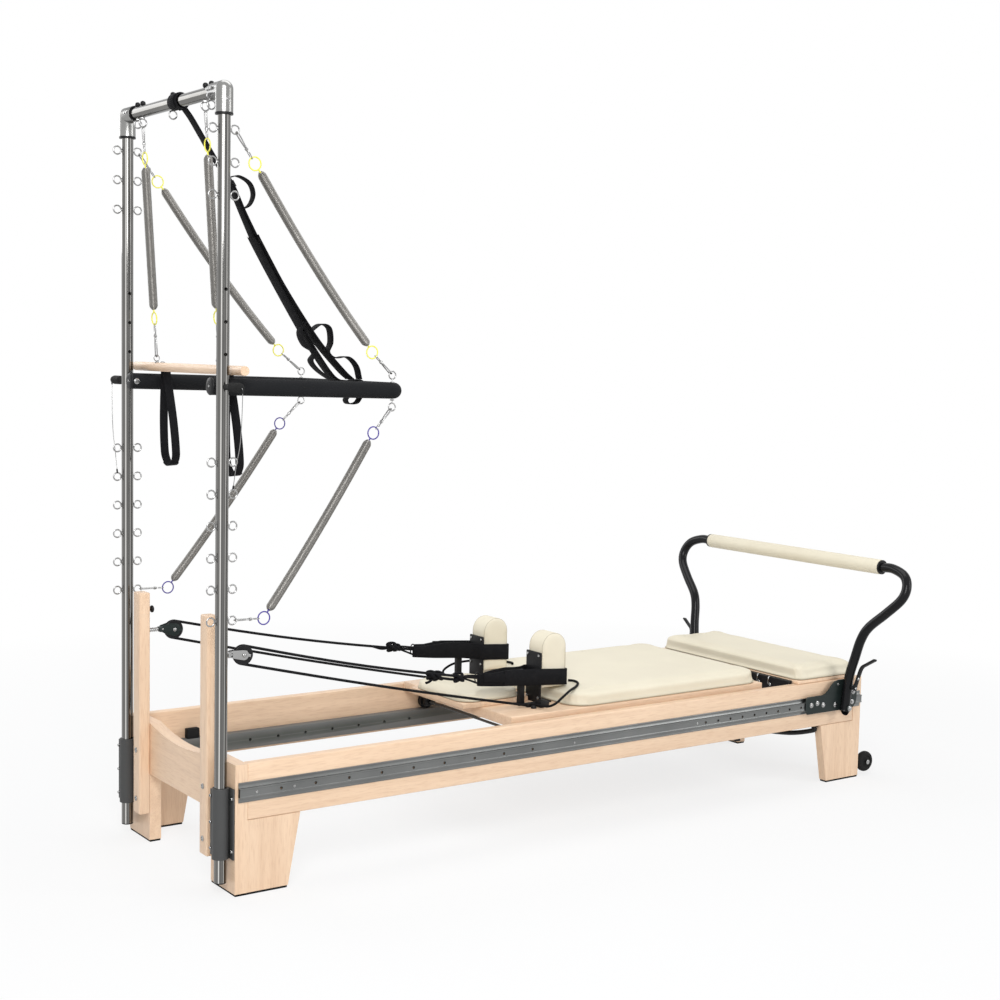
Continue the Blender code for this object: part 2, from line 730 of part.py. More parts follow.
def build_uprights(frame):
    """Two drilled uprights with their eyes, bolted sleeves, posts, elbows and crossbar."""
    top = CROSSBAR_Z - ELBOW_DROP
    for side in SIDES:
        y = side * UPRIGHT_Y
        name = SIDE_NAMES[side]
        tube = rod((UPRIGHT_X, y, UPRIGHT_BOTTOM), (UPRIGHT_X, y, top - GAP), TUBE_R, 16)
        drills = [rod((UPRIGHT_X, y - 2 * TUBE_R, z), (UPRIGHT_X, y + 2 * TUBE_R, z), BORE_R, 8)
                  for z in (PIVOT_Z, *SPARE_HOLES_Z)]
        eyes = [eye_shape((UPRIGHT_X + out * (TUBE_R - EYE_SINK), y, z),
                          (UPRIGHT_X + out * EYE_REACH, y, z))
                for out in (-1, 1) for z in upright_eye_heights()]
        upright = combine(cut(tube, together(*drills)), together(*eyes), 'UNION')
        make_part(f"upright_{name}", upright, STEEL, frame)

        collar = rod((UPRIGHT_X, y, SLEEVE_LOW), (UPRIGHT_X, y, SLEEVE_HIGH), SLEEVE_R, 16)
        flange = box(-GAP - FLANGE_THICK, -GAP, y - FLANGE_REACH, y, SLEEVE_LOW, SLEEVE_HIGH)
        bore = rod((UPRIGHT_X, y, SLEEVE_LOW - TUBE_R), (UPRIGHT_X, y, SLEEVE_HIGH + TUBE_R),
                   TUBE_R + GAP, 16)
        make_part(f"sleeve_{name}", cut(fuse(collar, flange), bore), GREY_PAINT, frame)

        post = side_box(side, -POST_THICK, -GAP, POST_Y - POST_WIDE / 2,
                        POST_Y + POST_WIDE / 2, POST_LOW, POST_HIGH)
        make_part(f"tower_post_{name}", post, MAPLE, frame, POST_ROUND)

        bend = rounded_route([(UPRIGHT_X, y, top), (UPRIGHT_X, y, CROSSBAR_Z),
                              (UPRIGHT_X, y - side * ELBOW_REACH, CROSSBAR_Z)], ELBOW_BEND)
        make_part(f"elbow_{name}", wire(bend, ELBOW_R, 3), ALUMINIUM, frame)
    half = UPRIGHT_Y - ELBOW_REACH - GAP
    crossbar = rod((UPRIGHT_X, -half, CROSSBAR_Z), (UPRIGHT_X, half, CROSSBAR_Z), TUBE_R, 16)
    eyes = [eye_shape((UPRIGHT_X, y, CROSSBAR_Z - TUBE_R + EYE_SINK),
                      (UPRIGHT_X, y, CROSSBAR_EYE_Z)) for y in CROSSBAR_EYES_Y]
    caps = [ball((UPRIGHT_X, y, CROSSBAR_Z + TUBE_R + BALL_R - EYE_SINK), BALL_R)
            for y in CROSSBAR_EYES_Y]
    crossbar = combine(crossbar, together(*eyes), 'UNION')
    make_part("crossbar", combine(crossbar, together(*caps), 'UNION'), STEEL, frame)


def eye_shape(base, centre, ring_r=EYE_R):
    """A screw eye: a short stem from base, then a ring about centre in the XZ plane."""
    base, centre = Vector(base), Vector(centre)
    back = (base - centre).normalized()
    across = Vector((-back.z, 0, back.x))
    open_angle = (2 * EYE_WIRE + 0.0006) / ring_r
    points = [base]
    for k in range(EYE_SIDES + 1):
        angle = (math.tau - open_angle) * k / EYE_SIDES
        points.append(centre + ring_r * (math.cos(angle) * back + math.sin(angle) * across))
    return wire(points, EYE_WIRE)


def upright_eye_heights():
    """Heights of the eyes on each side of an upright."""
    return [*(HIGH_EYE_Z - HIGH_EYE_STEP * k for k in range(HIGH_EYES)),
            *(LOW_EYE_Z + LOW_EYE_STEP * k for k in range(LOW_EYES))]


# Springs

def coil_route(start, end):
    """A helix with straight ends: out from the axis, round, and back to it."""
    start, end = Vector(start), Vector(end)
    along = (end - start).normalized()
    lead = 2 * SPRING_WIRE
    turn = turn_to(along).to_3x3()
    first, last = start + along * 2 * lead, end - along * 2 * lead
    count = SPRING_CURLS * CURL_POINTS
    route = [start, start + along * lead]
    for k in range(count + 1):
        angle = math.tau * k / CURL_POINTS
        round_part = turn @ Vector((math.cos(angle), math.sin(angle), 0.0))
        route.append(first.lerp(last, k / count) + (SPRING_R - SPRING_WIRE) * round_part)
    return route + [end - along * lead, end]


def least_gap(route, wire_radius, skip):
    """The smallest space between stretches of one wire that aren't neighbours."""
    best = math.inf
    for i, first in enumerate(route):
        for second in route[i + skip:]:
            best = min(best, (first - second).length - 2 * wire_radius)
    return best


def hook_shape(eye, ring, eye_r):
    """A long loop of wire through an eye, joined to a spring's coloured ring.

    It lies across both rings' planes, and clears the eye that it hangs in.
    """
    eye, ring = Vector(eye), Vector(ring)
    along = (ring - eye).normalized()
    across = along.cross(along.cross(Vector((0, 1, 0)))).normalized()
    first = eye + along * (eye_r * EYE_FACET - EYE_WIRE - HOOK_WIRE - GAP)
    last = ring - along * RING_R
    points = []
    for centre, sign in ((first + along * HOOK_HALF, -1), (last - along * HOOK_HALF, 1)):
        for k in range(5):
            angle = math.pi * (k / 4 - 0.5) * -sign
            points.append(centre + HOOK_HALF * (sign * math.cos(angle) * along
                                                + math.sin(angle) * across))
    return wire(points, HOOK_WIRE, 0, closed=True)


def ring_shape(centre, toward):
    """A coloured ring in the XZ plane, with a corner facing the spring."""
    centre, toward = Vector(centre), Vector(toward).normalized()
    flat = Vector((toward.x, 0, toward.z)).normalized()
    across = Vector((-flat.z, 0, flat.x))
    sides = 10
    points = [centre + RING_R * (math.cos(math.tau * k / sides) * flat
                                 + math.sin(math.tau * k / sides) * across)
              for k in range(sides)]
    return wire(points, RING_WIRE, 0, closed=True)


def spring_shape(tower_eye, tower_ring, bar_ring, bar_eye, bar_eye_r=EYE_R):
    """A spring with a ring and a hook at each end, between two eyes, as one body."""
    first, second = Vector(tower_ring), Vector(bar_ring)
    along = (second - first).normalized()
    route = coil_route(first + along * RING_R, second - along * RING_R)
    spring = fuse(wire(route, SPRING_WIRE, 1),
                  ring_shape(tower_ring, along), hook_shape(tower_eye, tower_ring, EYE_R),
                  ring_shape(bar_ring, along), hook_shape(bar_eye, bar_ring, bar_eye_r))
    return spring, least_gap(route, SPRING_WIRE, 4)


def on_side(spot, side):
    """A place given as (x, distance from the middle, z), on one side."""
    return (spot[0], side * spot[1], spot[2])


def build_bar_springs(push):
    """The four springs between the uprights and the push-through bar."""
    plans = (
        ("upper", HIGH_EYE_Z, UPPER_RING_NEAR_TOWER, UPPER_RING_NEAR_BAR, PUSH_EYE_HIGH),
        ("lower", LOW_EYE_Z, LOWER_RING_NEAR_TOWER, LOWER_RING_NEAR_BAR, PUSH_EYE_LOW),
    )
    for label, eye_z, near_tower, near_bar, bar_z in plans:
        for side in SIDES:
            tower_eye = (UPRIGHT_X + EYE_REACH, side * UPRIGHT_Y, eye_z)
            bar_eye = (PUSH_EYE_X, side * PUSH_EYE_Y, bar_z)
            spring, gap = spring_shape(tower_eye, on_side(near_tower, side),
                                       on_side(near_bar, side), bar_eye)
            make_part(f"{label}_spring_{SIDE_NAMES[side]}", spring, DARK_STEEL, push)
            print(f"{label} spring: least gap to itself {gap * 1000:.2f} mm")


# Push-through bar, pins and strap

def build_push_bar(swing):
    """The foam-covered bar with its four eyes and the bolts that it turns on."""
    slope = Vector((math.cos(PUSH_SLOPE), 0, -math.sin(PUSH_SLOPE)))
    pivot = Vector((UPRIGHT_X, 0, PIVOT_Z))
    tail = pivot + slope * (PUSH_TAIL_X - UPRIGHT_X)
    cross = Vector((PUSH_CROSS_X, 0, PUSH_CROSS_Z))
    side = Vector((0, PUSH_ARM_Y, 0))
    route = rounded_route([tail - side, cross - side, cross + side, tail + side], PUSH_CORNER)
    bar = wire(route, PUSH_R, 3)
    arm_in, arm_out = PUSH_ARM_Y - PUSH_R, PUSH_ARM_Y + PUSH_R
    upright_in = UPRIGHT_Y - TUBE_R
    profile = [(0.0, arm_in - BOLT_HEAD), (BOLT_HEAD_R, arm_in - BOLT_HEAD),
               (BOLT_HEAD_R, PUSH_ARM_Y), (SPACER_R, PUSH_ARM_Y), (SPACER_R, upright_in - GAP),
               (BOLT_R, upright_in - GAP), (BOLT_R, UPRIGHT_Y), (0.0, UPRIGHT_Y)]
    for out in SIDES:
        bolt = lathe(profile, pivot, (0, out, 0), 8)
        eyes = [eye_shape((PUSH_EYE_X - EYE_BACK, out * PUSH_EYE_Y, PUSH_CROSS_Z + up * PUSH_R * 0.7),
                          (PUSH_EYE_X, out * PUSH_EYE_Y, z))
                for z, up in ((PUSH_EYE_HIGH, 1), (PUSH_EYE_LOW, -1))]
        bar = fuse(bar, bolt, *eyes)
    make_part("push_through_bar", bar, FOAM, swing)


def ring_outline(radius, count=16):
    """Points of a circle."""
    return [(radius * math.cos(math.tau * k / count), radius * math.sin(math.tau * k / count))
            for k in range(count)]


def build_safety_strap(frame):
    """A strap wrapped round the crossbar and round the push-through bar."""
    top = Vector((UPRIGHT_X, STRAP_Y, CROSSBAR_Z))
    bottom = Vector((PUSH_CROSS_X, STRAP_Y, PUSH_CROSS_Z))
    facing = Matrix.Rotation(math.pi / 2, 4, 'X')
    wraps = []
    for centre, inner in ((top, TUBE_R + PLAY), (bottom, PUSH_R + PLAY)):
        outer = inner + STRAP_THICK
        wraps.append(plate([ring_outline(outer), ring_outline(inner)], STRAP_WIDE,
                           Matrix.Translation(centre) @ facing))
    along = (bottom - top).normalized()
    start = top + along * (TUBE_R + PLAY + STRAP_THICK / 2)
    end = bottom - along * (PUSH_R + PLAY + STRAP_THICK / 2)
    band = box(-STRAP_THICK / 2, STRAP_THICK / 2, -STRAP_WIDE / 2, STRAP_WIDE / 2,
               -(end - start).length / 2, (end - start).length / 2)
    bmesh.ops.transform(band, matrix=Matrix.Translation((start + end) / 2) @ turn_to(along),
                        verts=band.verts)
    make_part("safety_strap", fuse(wraps[0], wraps[1], band), WEBBING, frame)


def build_pins(bodies):
    """Spring-loaded pins that lock the push-through bar's pivot, with their lanyards."""
    start = UPRIGHT_Y + 2 * GAP
    face = UPRIGHT_Y + TUBE_R + GAP
    profile = [(0.0, start), (BOLT_R, start), (BOLT_R, face), (PIN_NECK_R, face),
               (PIN_NECK_R, PIN_NECK_END), (PIN_HEAD_R, PIN_NECK_END + BOLT_HEAD),
               (PIN_HEAD_R, PIN_HEAD_END - BOLT_HEAD), (PIN_NECK_R, PIN_HEAD_END),
               (0.0, PIN_HEAD_END)]
    eye_top = LOW_EYE_Z + LANYARD_EYE * LOW_EYE_STEP + EYE_R + EYE_WIRE + PLAY + LANYARD_R
    for side, out, body in zip(SIDES, (1, -1), bodies):
        pin = lathe(profile, (UPRIGHT_X, 0, PIVOT_Z), (0, side, 0), 12)
        eye_x = UPRIGHT_X + out * EYE_REACH
        fall = PIVOT_Z - eye_top
        end = Vector((eye_x, side * UPRIGHT_Y, eye_top))
        route = smooth_route([
            (UPRIGHT_X, side * (PIN_HEAD_END - LANYARD_R), PIVOT_Z),
            (UPRIGHT_X + out * 0.002, side * (PIN_HEAD_END + 0.004), PIVOT_Z - 0.014),
            (UPRIGHT_X + out * 0.014, side * (PIN_HEAD_END - 0.030), PIVOT_Z - 0.5 * fall),
            (eye_x - out * 0.004, side * (UPRIGHT_Y + 0.026), eye_top + 0.23 * fall),
            (eye_x, side * (UPRIGHT_Y + 0.004), eye_top + 0.012), end], 3)
        make_part(f"pull_pin_{SIDE_NAMES[side]}", fuse(pin, wire(route, LANYARD_R, 1)), BLACK,
                  body)


# Roll-down bar

def hang_spot(side, drop, forward=0.0):
    """A place on the hanging line below a crossbar eye, before it leans."""
    return Vector((UPRIGHT_X + forward, side * HANG_Y, CROSSBAR_EYE_Z - drop))


def build_roll_down(hang):
    """Two springs, the wooden bar on their hooks and two hand loops.

    They are shaped hanging straight down, and the joint's empty carries the lean.
    """
    lean = hang.matrix_world @ Matrix.Translation((-UPRIGHT_X, 0, -CROSSBAR_EYE_Z))
    bar_z = CROSSBAR_EYE_Z - ROLL_BAR_DROP
    bar = rod((UPRIGHT_X, -ROLL_BAR_HALF, bar_z), (UPRIGHT_X, ROLL_BAR_HALF, bar_z), ROLL_BAR_R, 16)
    pieces = []
    for side in SIDES:
        bar_eye = hang_spot(side, ROLL_BAR_DROP - ROLL_BAR_R - ROLL_EYE_STEM - ROLL_EYE_R)
        spring, gap = spring_shape(hang_spot(side, 0), hang_spot(side, HANG_RING_HIGH),
                                   hang_spot(side, HANG_RING_LOW), bar_eye, ROLL_EYE_R)
        pieces.append((f"vertical_spring_{SIDE_NAMES[side]}", spring, DARK_STEEL))
        print(f"vertical spring: least gap to itself {gap * 1000:.2f} mm")
        eye = eye_shape(hang_spot(side, ROLL_BAR_DROP - ROLL_BAR_R + EYE_SINK), bar_eye,
                        ROLL_EYE_R)
        bar = combine(bar, eye, 'UNION')
        pieces.append((f"hand_loop_{SIDE_NAMES[side]}", hand_loop(side), WEBBING))
    pieces.append(("roll_down_bar", bar, MAPLE))
    for name, shape, finish in pieces:
        bmesh.ops.transform(shape, matrix=lean, verts=shape.verts)
        make_part(name, shape, finish, hang)


def hand_loop(side):
    """A webbing loop in front of the bar: narrow at the top and round at the bottom."""
    centre = side * HANG_Y
    forward = ROLL_BAR_R + HAND_STRAP_WIDE / 2 + GAP
    top, bottom = CROSSBAR_EYE_Z - HAND_LOOP_TOP, CROSSBAR_EYE_Z - HAND_LOOP_BOTTOM
    outlines = []
    for inset in (0.0, HAND_STRAP_THICK):
        half = HAND_LOOP_HALF - inset
        turn_z = bottom + HAND_LOOP_HALF
        outline = [(0.006 - inset / 2, top - inset), (half, turn_z)]
        outline += [(half * math.cos(angle), turn_z + half * math.sin(angle))
                    for angle in (-math.pi * k / 8 for k in range(1, 8))]
        outline += [(-half, turn_z), (-0.006 + inset / 2, top - inset)]
        outlines.append([(centre + u, v) for u, v in outline])
    stand = Matrix(((0, 0, 1, UPRIGHT_X + forward), (1, 0, 0, 0), (0, 1, 0, 0), (0, 0, 0, 1)))
    return plate(outlines, HAND_STRAP_WIDE, stand)


# Pulleys, ropes and carriage

def build_pulleys(frame, sheaves):
    """Pulley blocks linked to the posts, each with a grooved sheave on its pin."""
    half = SHEAVE_WIDE / 2
    cheek_in, cheek_out = half + PLAY, half + PLAY + CHEEK_THICK
    yoke_end = SHEAVE_X - ROPE_TURN_R - ROPE_R - 2 * PLAY
    yoke_start = yoke_end - YOKE_LENGTH
    groove = ROPE_TURN_R - ROPE_R - GAP
    for side, sheave in zip(SIDES, sheaves):
        y = side * POST_Y
        pieces = [box(yoke_start, yoke_end, y - cheek_out, y + cheek_out, SHEAVE_Z - YOKE_LENGTH,
                      SHEAVE_Z + YOKE_LENGTH)]
        for out in (-1, 1):
            a, b = sorted((y + out * cheek_in, y + out * cheek_out))
            pieces.append(rod((SHEAVE_X, a, SHEAVE_Z), (SHEAVE_X, b, SHEAVE_Z), CHEEK_R, 12))
            pieces.append(box(yoke_end - GAP, SHEAVE_X, a, b, SHEAVE_Z - YOKE_LENGTH,
                              SHEAVE_Z + YOKE_LENGTH))
        pieces.append(rod((SHEAVE_X, y - cheek_out - CHEEK_THICK, SHEAVE_Z),
                          (SHEAVE_X, y + cheek_out + CHEEK_THICK, SHEAVE_Z), BOLT_R, 8))
        pieces.append(rod((GAP, y, SHEAVE_Z), (yoke_start + GAP, y, SHEAVE_Z), LINK_R, 8))
        make_part(f"pulley_block_{SIDE_NAMES[side]}", fuse(*pieces), STEEL, frame)

        profile = [(BORE_R, -half), (SHEAVE_R, -half), (SHEAVE_R, -half + SHEAVE_LIP),
                   (groove, -ROPE_R - PLAY), (groove, ROPE_R + PLAY),
                   (SHEAVE_R, half - SHEAVE_LIP), (SHEAVE_R, half), (BORE_R, half)]
        wheel = lathe(profile, (SHEAVE_X, y, SHEAVE_Z), (0, 1, 0), 16)
        make_part(f"sheave_{SIDE_NAMES[side]}", wheel, BLACK, sheave)


def build_ropes(carriage):
    """Each rope runs from its cleat round the sheave and back to the foot loop."""
    groove = ROPE_TURN_R + GAP
    turns = 9
    for side in SIDES:
        loop_end = Vector((LOOP_HEAD_X - LOOP_THICK / 2 - ROPE_R / 3, side * LOOP_MIDDLE_Y,
                           (LOOP_LOW + LOOP_HIGH) / 2))
        cleat = Vector((CLEAT_X - CLEAT_LENGTH / 2 - ROPE_R / 3, side * CLEAT_Y,
                        CARRIAGE_TOP + CLEAT_HIGH / 2))
        first = math.pi / 2 + math.atan2(loop_end.z - SHEAVE_Z - groove, loop_end.x - SHEAVE_X)
        last = 1.5 * math.pi + math.atan2(cleat.z - SHEAVE_Z + groove, cleat.x - SHEAVE_X)
        turn = []
        for k in range(turns + 1):
            angle = first + (last - first) * k / turns
            turn.append(Vector((SHEAVE_X + groove * math.cos(angle), side * POST_Y,
                                SHEAVE_Z + groove * math.sin(angle))))
        route = [loop_end] + [loop_end.lerp(turn[0], t) for t in (0.3, 0.7)]
        route += turn + [turn[-1].lerp(cleat, t) for t in (0.35, 0.7)] + [cleat]
        make_part(f"rope_{SIDE_NAMES[side]}", wire(route, ROPE_R, 2), ROPE, carriage)


def foot_loop(side):
    """A wide webbing band round a shoulder rest, drawn out toward the rope."""
    half = LOOP_THICK / 2
    rest_foot = REST_X + REST_DEEP + GAP + half
    rest_out = REST_OUTER + GAP + half
    rest_in = REST_INNER - GAP - half
    line = [(LOOP_HEAD_X, LOOP_MIDDLE_Y - 0.006), (LOOP_HEAD_X, LOOP_MIDDLE_Y + 0.006),
            (LOOP_HEAD_X + 0.06, rest_out),
            (rest_foot - half, rest_out), (rest_foot, rest_out - half),
            (rest_foot, rest_in + half), (rest_foot - half, rest_in),
            (REST_X - 0.008, rest_in), (HEADREST_FOOT - 0.004, LOOP_INNER_Y),
            (LOOP_HEAD_X + 0.05, LOOP_INNER_Y)]
    line = [Vector(point) for point in line]
    inner, outer = [], []
    for i, spot in enumerate(line):
        before, after = line[i - 1], line[(i + 1) % len(line)]
        first, second = (spot - before).normalized(), (after - spot).normalized()
        normal = Vector((-first.y - second.y, first.x + second.x)).normalized()
        reach = half / max(0.5, normal.dot(Vector((-first.y, first.x))))
        outer.append(spot + normal * reach)
        inner.append(spot - normal * reach)
    middle_z = (LOOP_LOW + LOOP_HIGH) / 2
    outlines = [[(p.x, side * p.y) for p in ring] for ring in (outer, inner)]
    return plate(outlines, LOOP_HIGH - LOOP_LOW, Matrix.Translation((0, 0, middle_z)))


def shoulder_rest(side):
    """A tombstone pad standing on edge: flat below, half round above."""
    x0, x1 = REST_X, REST_X + REST_DEEP
    radius = REST_DEEP / 2
    outline = [(x0, REST_LOW), (x1, REST_LOW)]
    outline += [(x0 + radius + radius * math.cos(angle), REST_HIGH - radius + radius * math.sin(angle))
                for angle in (math.pi * k / 10 for k in range(11))]
    middle = side * (REST_INNER + REST_OUTER) / 2
    facing = Matrix.Rotation(math.pi / 2, 4, 'X')
    return plate([outline], REST_OUTER - REST_INNER, Matrix.Translation((0, middle, 0)) @ facing)


def carriage_fittings(side):
    """Roller brackets, a shoulder plate, a strap peg and a rope cleat of one side."""
    block_out = ROLLER_Y - ROLLER_WIDE / 2 - PLAY
    pieces = []
    for x in (FRONT_ROLLER_X, REAR_ROLLER_X):
        block = side_box(side, x - BRACKET_HALF, x + BRACKET_HALF, block_out - BRACKET_HALF,
                         block_out, ROLLER_Z - 0.6 * BRACKET_HALF, CARRIAGE_LOW + GAP)
        bore = rod((x, -BED_WIDTH, ROLLER_Z), (x, BED_WIDTH, ROLLER_Z), BORE_R, 8)
        pieces.append(cut(block, bore))
    back = REST_X - GAP
    low = CARRIAGE_TOP - GAP
    inner, outer = REST_INNER + PLATE_INSET, REST_OUTER - PLATE_INSET
    pieces.append(side_box(side, back - PLATE_THICK, back, inner, outer, low, PLATE_HIGH))
    pieces.append(side_box(side, back - PLATE_THICK, back - PLATE_THICK + PLATE_FOOT, inner,
                           outer, low, CARRIAGE_TOP + PLATE_THICK))
    pieces.append(side_box(side, PEG_X - PEG_WIDE / 2, PEG_X + PEG_WIDE / 2, PEG_Y - PEG_WIDE / 2,
                           PEG_Y + PEG_WIDE / 2, low, PEG_HIGH))
    pieces.append(side_box(side, CLEAT_X - CLEAT_LENGTH / 2, CLEAT_X + CLEAT_LENGTH / 2,
                           CLEAT_Y - CLEAT_WIDE / 2, CLEAT_Y + CLEAT_WIDE / 2, low,
                           CARRIAGE_TOP + CLEAT_HIGH))
    return pieces


def build_carriage(carriage, headrest):
    """Board with its fittings, pads, shoulder rests, foot loops, springs and headrest."""
    board = box(CARRIAGE_HEAD, CARRIAGE_FOOT, -CARRIAGE_HALF, CARRIAGE_HALF, CARRIAGE_LOW,
                CARRIAGE_TOP)
    board = fuse(board, *carriage_fittings(-1), *carriage_fittings(1))
    make_part("carriage_frame", board, MAPLE, carriage)

    place_cushion("main_pad", MAIN_PAD_HEAD, CARRIAGE_FOOT, CARRIAGE_HALF, CARRIAGE_TOP + GAP,
                  PAD_TOP, MAIN_PAD_CORNER, carriage)
    for side in SIDES:
        make_part(f"shoulder_rest_{SIDE_NAMES[side]}", shoulder_rest(side), CREAM, carriage,
                  REST_ROUND, 2)
        make_part(f"foot_loop_{SIDE_NAMES[side]}", foot_loop(side), WEBBING, carriage)

    anchor_half = CARRIAGE_SPRING_STEP * (CARRIAGE_SPRINGS - 1) / 2 + 2 * CARRIAGE_SPRING_R
    anchor = box(SPRING_ANCHOR_X - SPRING_ANCHOR_DEEP, SPRING_ANCHOR_X, -anchor_half,
                 anchor_half, CARRIAGE_SPRING_Z - CARRIAGE_SPRING_R, CARRIAGE_LOW - GAP)
    springs = [rod((SPRING_ANCHOR_X - GAP, y, CARRIAGE_SPRING_Z),
                   (SPRING_BAR_X - SPRING_BUTTON - GAP, y, CARRIAGE_SPRING_Z),
                   CARRIAGE_SPRING_R, 8) for y in carriage_spring_places()]
    make_part("carriage_springs", combine(anchor, together(*springs), 'UNION'), STEEL, carriage)

    low = CARRIAGE_TOP + GAP
    rest_board = box(HEADREST_HEAD, HEADREST_FOOT, -HEADREST_HALF, HEADREST_HALF, low,
                     low + HEADREST_BOARD)
    make_part("headrest_board", rest_board, MAPLE, headrest)
    place_cushion("headrest_pad", HEADREST_HEAD, HEADREST_FOOT - HEADREST_PAD_SHORT,
                  HEADREST_HALF, low + HEADREST_BOARD + GAP, HEADREST_TOP, HEADREST_CORNER,
                  headrest)


def carriage_spring_places():
    """Distances of the carriage springs from the bed's middle line."""
    return [(k - (CARRIAGE_SPRINGS - 1) / 2) * CARRIAGE_SPRING_STEP
            for k in range(CARRIAGE_SPRINGS)]


def place_cushion(name, start, end, half, low, high, corner, body):
    """A sewn pad between two X planes, resting at low."""
    pad = cushion((end - start) / 2, half, high - low, corner, PAD_CROWN, PAD_TUCK)
    bmesh.ops.translate(pad, vec=((start + end) / 2, 0, low), verts=pad.verts)
    make_part(name, pad, CREAM, body)


def build_rollers(front, rear):
    """A roller at each end of two axles that turn in the carriage's brackets."""
    half = ROLLER_WIDE / 2
    for name, x, body in (("front_rollers", FRONT_ROLLER_X, front),
                          ("rear_rollers", REAR_ROLLER_X, rear)):
        reach = ROLLER_Y + half
        profile = [(0.0, -reach), (ROLLER_R, -reach), (ROLLER_R, half - ROLLER_Y),
                   (AXLE_R, half - ROLLER_Y), (AXLE_R, ROLLER_Y - half),
                   (ROLLER_R, ROLLER_Y - half), (ROLLER_R, reach), (0.0, reach)]
        make_part(name, lathe(profile, (x, 0, ROLLER_Z), (0, 1, 0), 16), BLACK, body)


# Platform and footbar

def build_platform(frame):
    """A padded standing board over the foot end, and the bar that holds the springs."""
    low = RAIL_TOP + GAP
    board = box(PLATFORM_HEAD, PLATFORM_FOOT, -PLATFORM_HALF, PLATFORM_HALF, low,
                low + PLATFORM_THICK)
    make_part("platform_board", board, MAPLE, frame)
    place_cushion("platform_pad", PLATFORM_HEAD, PLATFORM_FOOT, PLATFORM_HALF,
                  low + PLATFORM_THICK + GAP, PLATFORM_PAD_TOP, SMALL_PAD_CORNER, frame)
    bar = box(SPRING_BAR_X, SPRING_BAR_X + SPRING_BAR_DEEP, -RAIL_IN + GAP, RAIL_IN - GAP,
              SPRING_BAR_LOW, SPRING_BAR_HIGH)
    buttons = [rod((SPRING_BAR_X - SPRING_BUTTON, y, CARRIAGE_SPRING_Z),
                   (SPRING_BAR_X + GAP, y, CARRIAGE_SPRING_Z), SPRING_BUTTON_R, 8)
               for y in carriage_spring_places()]
    make_part("spring_bar", combine(bar, together(*buttons), 'UNION'), GREY_PAINT, frame)


def footbar_spot(rise, out, side):
    """A place on the footbar: a length up its tilted plane and a distance out."""
    bow = FOOTBAR_BOW * math.sin(math.pi * min(1.0, max(0.0, rise) / FOOTBAR_TOP))
    x = FOOTBAR_X + rise * math.sin(FOOTBAR_TILT) - bow
    z = FOOTBAR_Z + rise * math.cos(FOOTBAR_TILT)
    return Vector((x, side * out, z))


def bracket_outline():
    """A low tail along the track and a raised, rounded part round the pivot.

    Its points are shares of the length from the foot end, and of two heights.
    """
    tail, raised = BRACKET_STEP - BRACKET_LOW, BRACKET_HIGH - BRACKET_STEP
    low = [(1.0, 0.0), (0.125, 0.0), (0.033, 0.17), (0.0, 0.51), (0.0, 0.85)]
    high = [(0.075, 0.44), (0.208, 1.0), (0.396, 1.0), (0.5, 0.78), (0.604, 0.27), (0.708, 0.0),
            (1.0, 0.0)]
    return ([(BRACKET_FOOT - u * BRACKET_LENGTH, BRACKET_LOW + v * tail) for u, v in low]
            + [(BRACKET_FOOT - u * BRACKET_LENGTH, BRACKET_STEP + v * raised) for u, v in high])


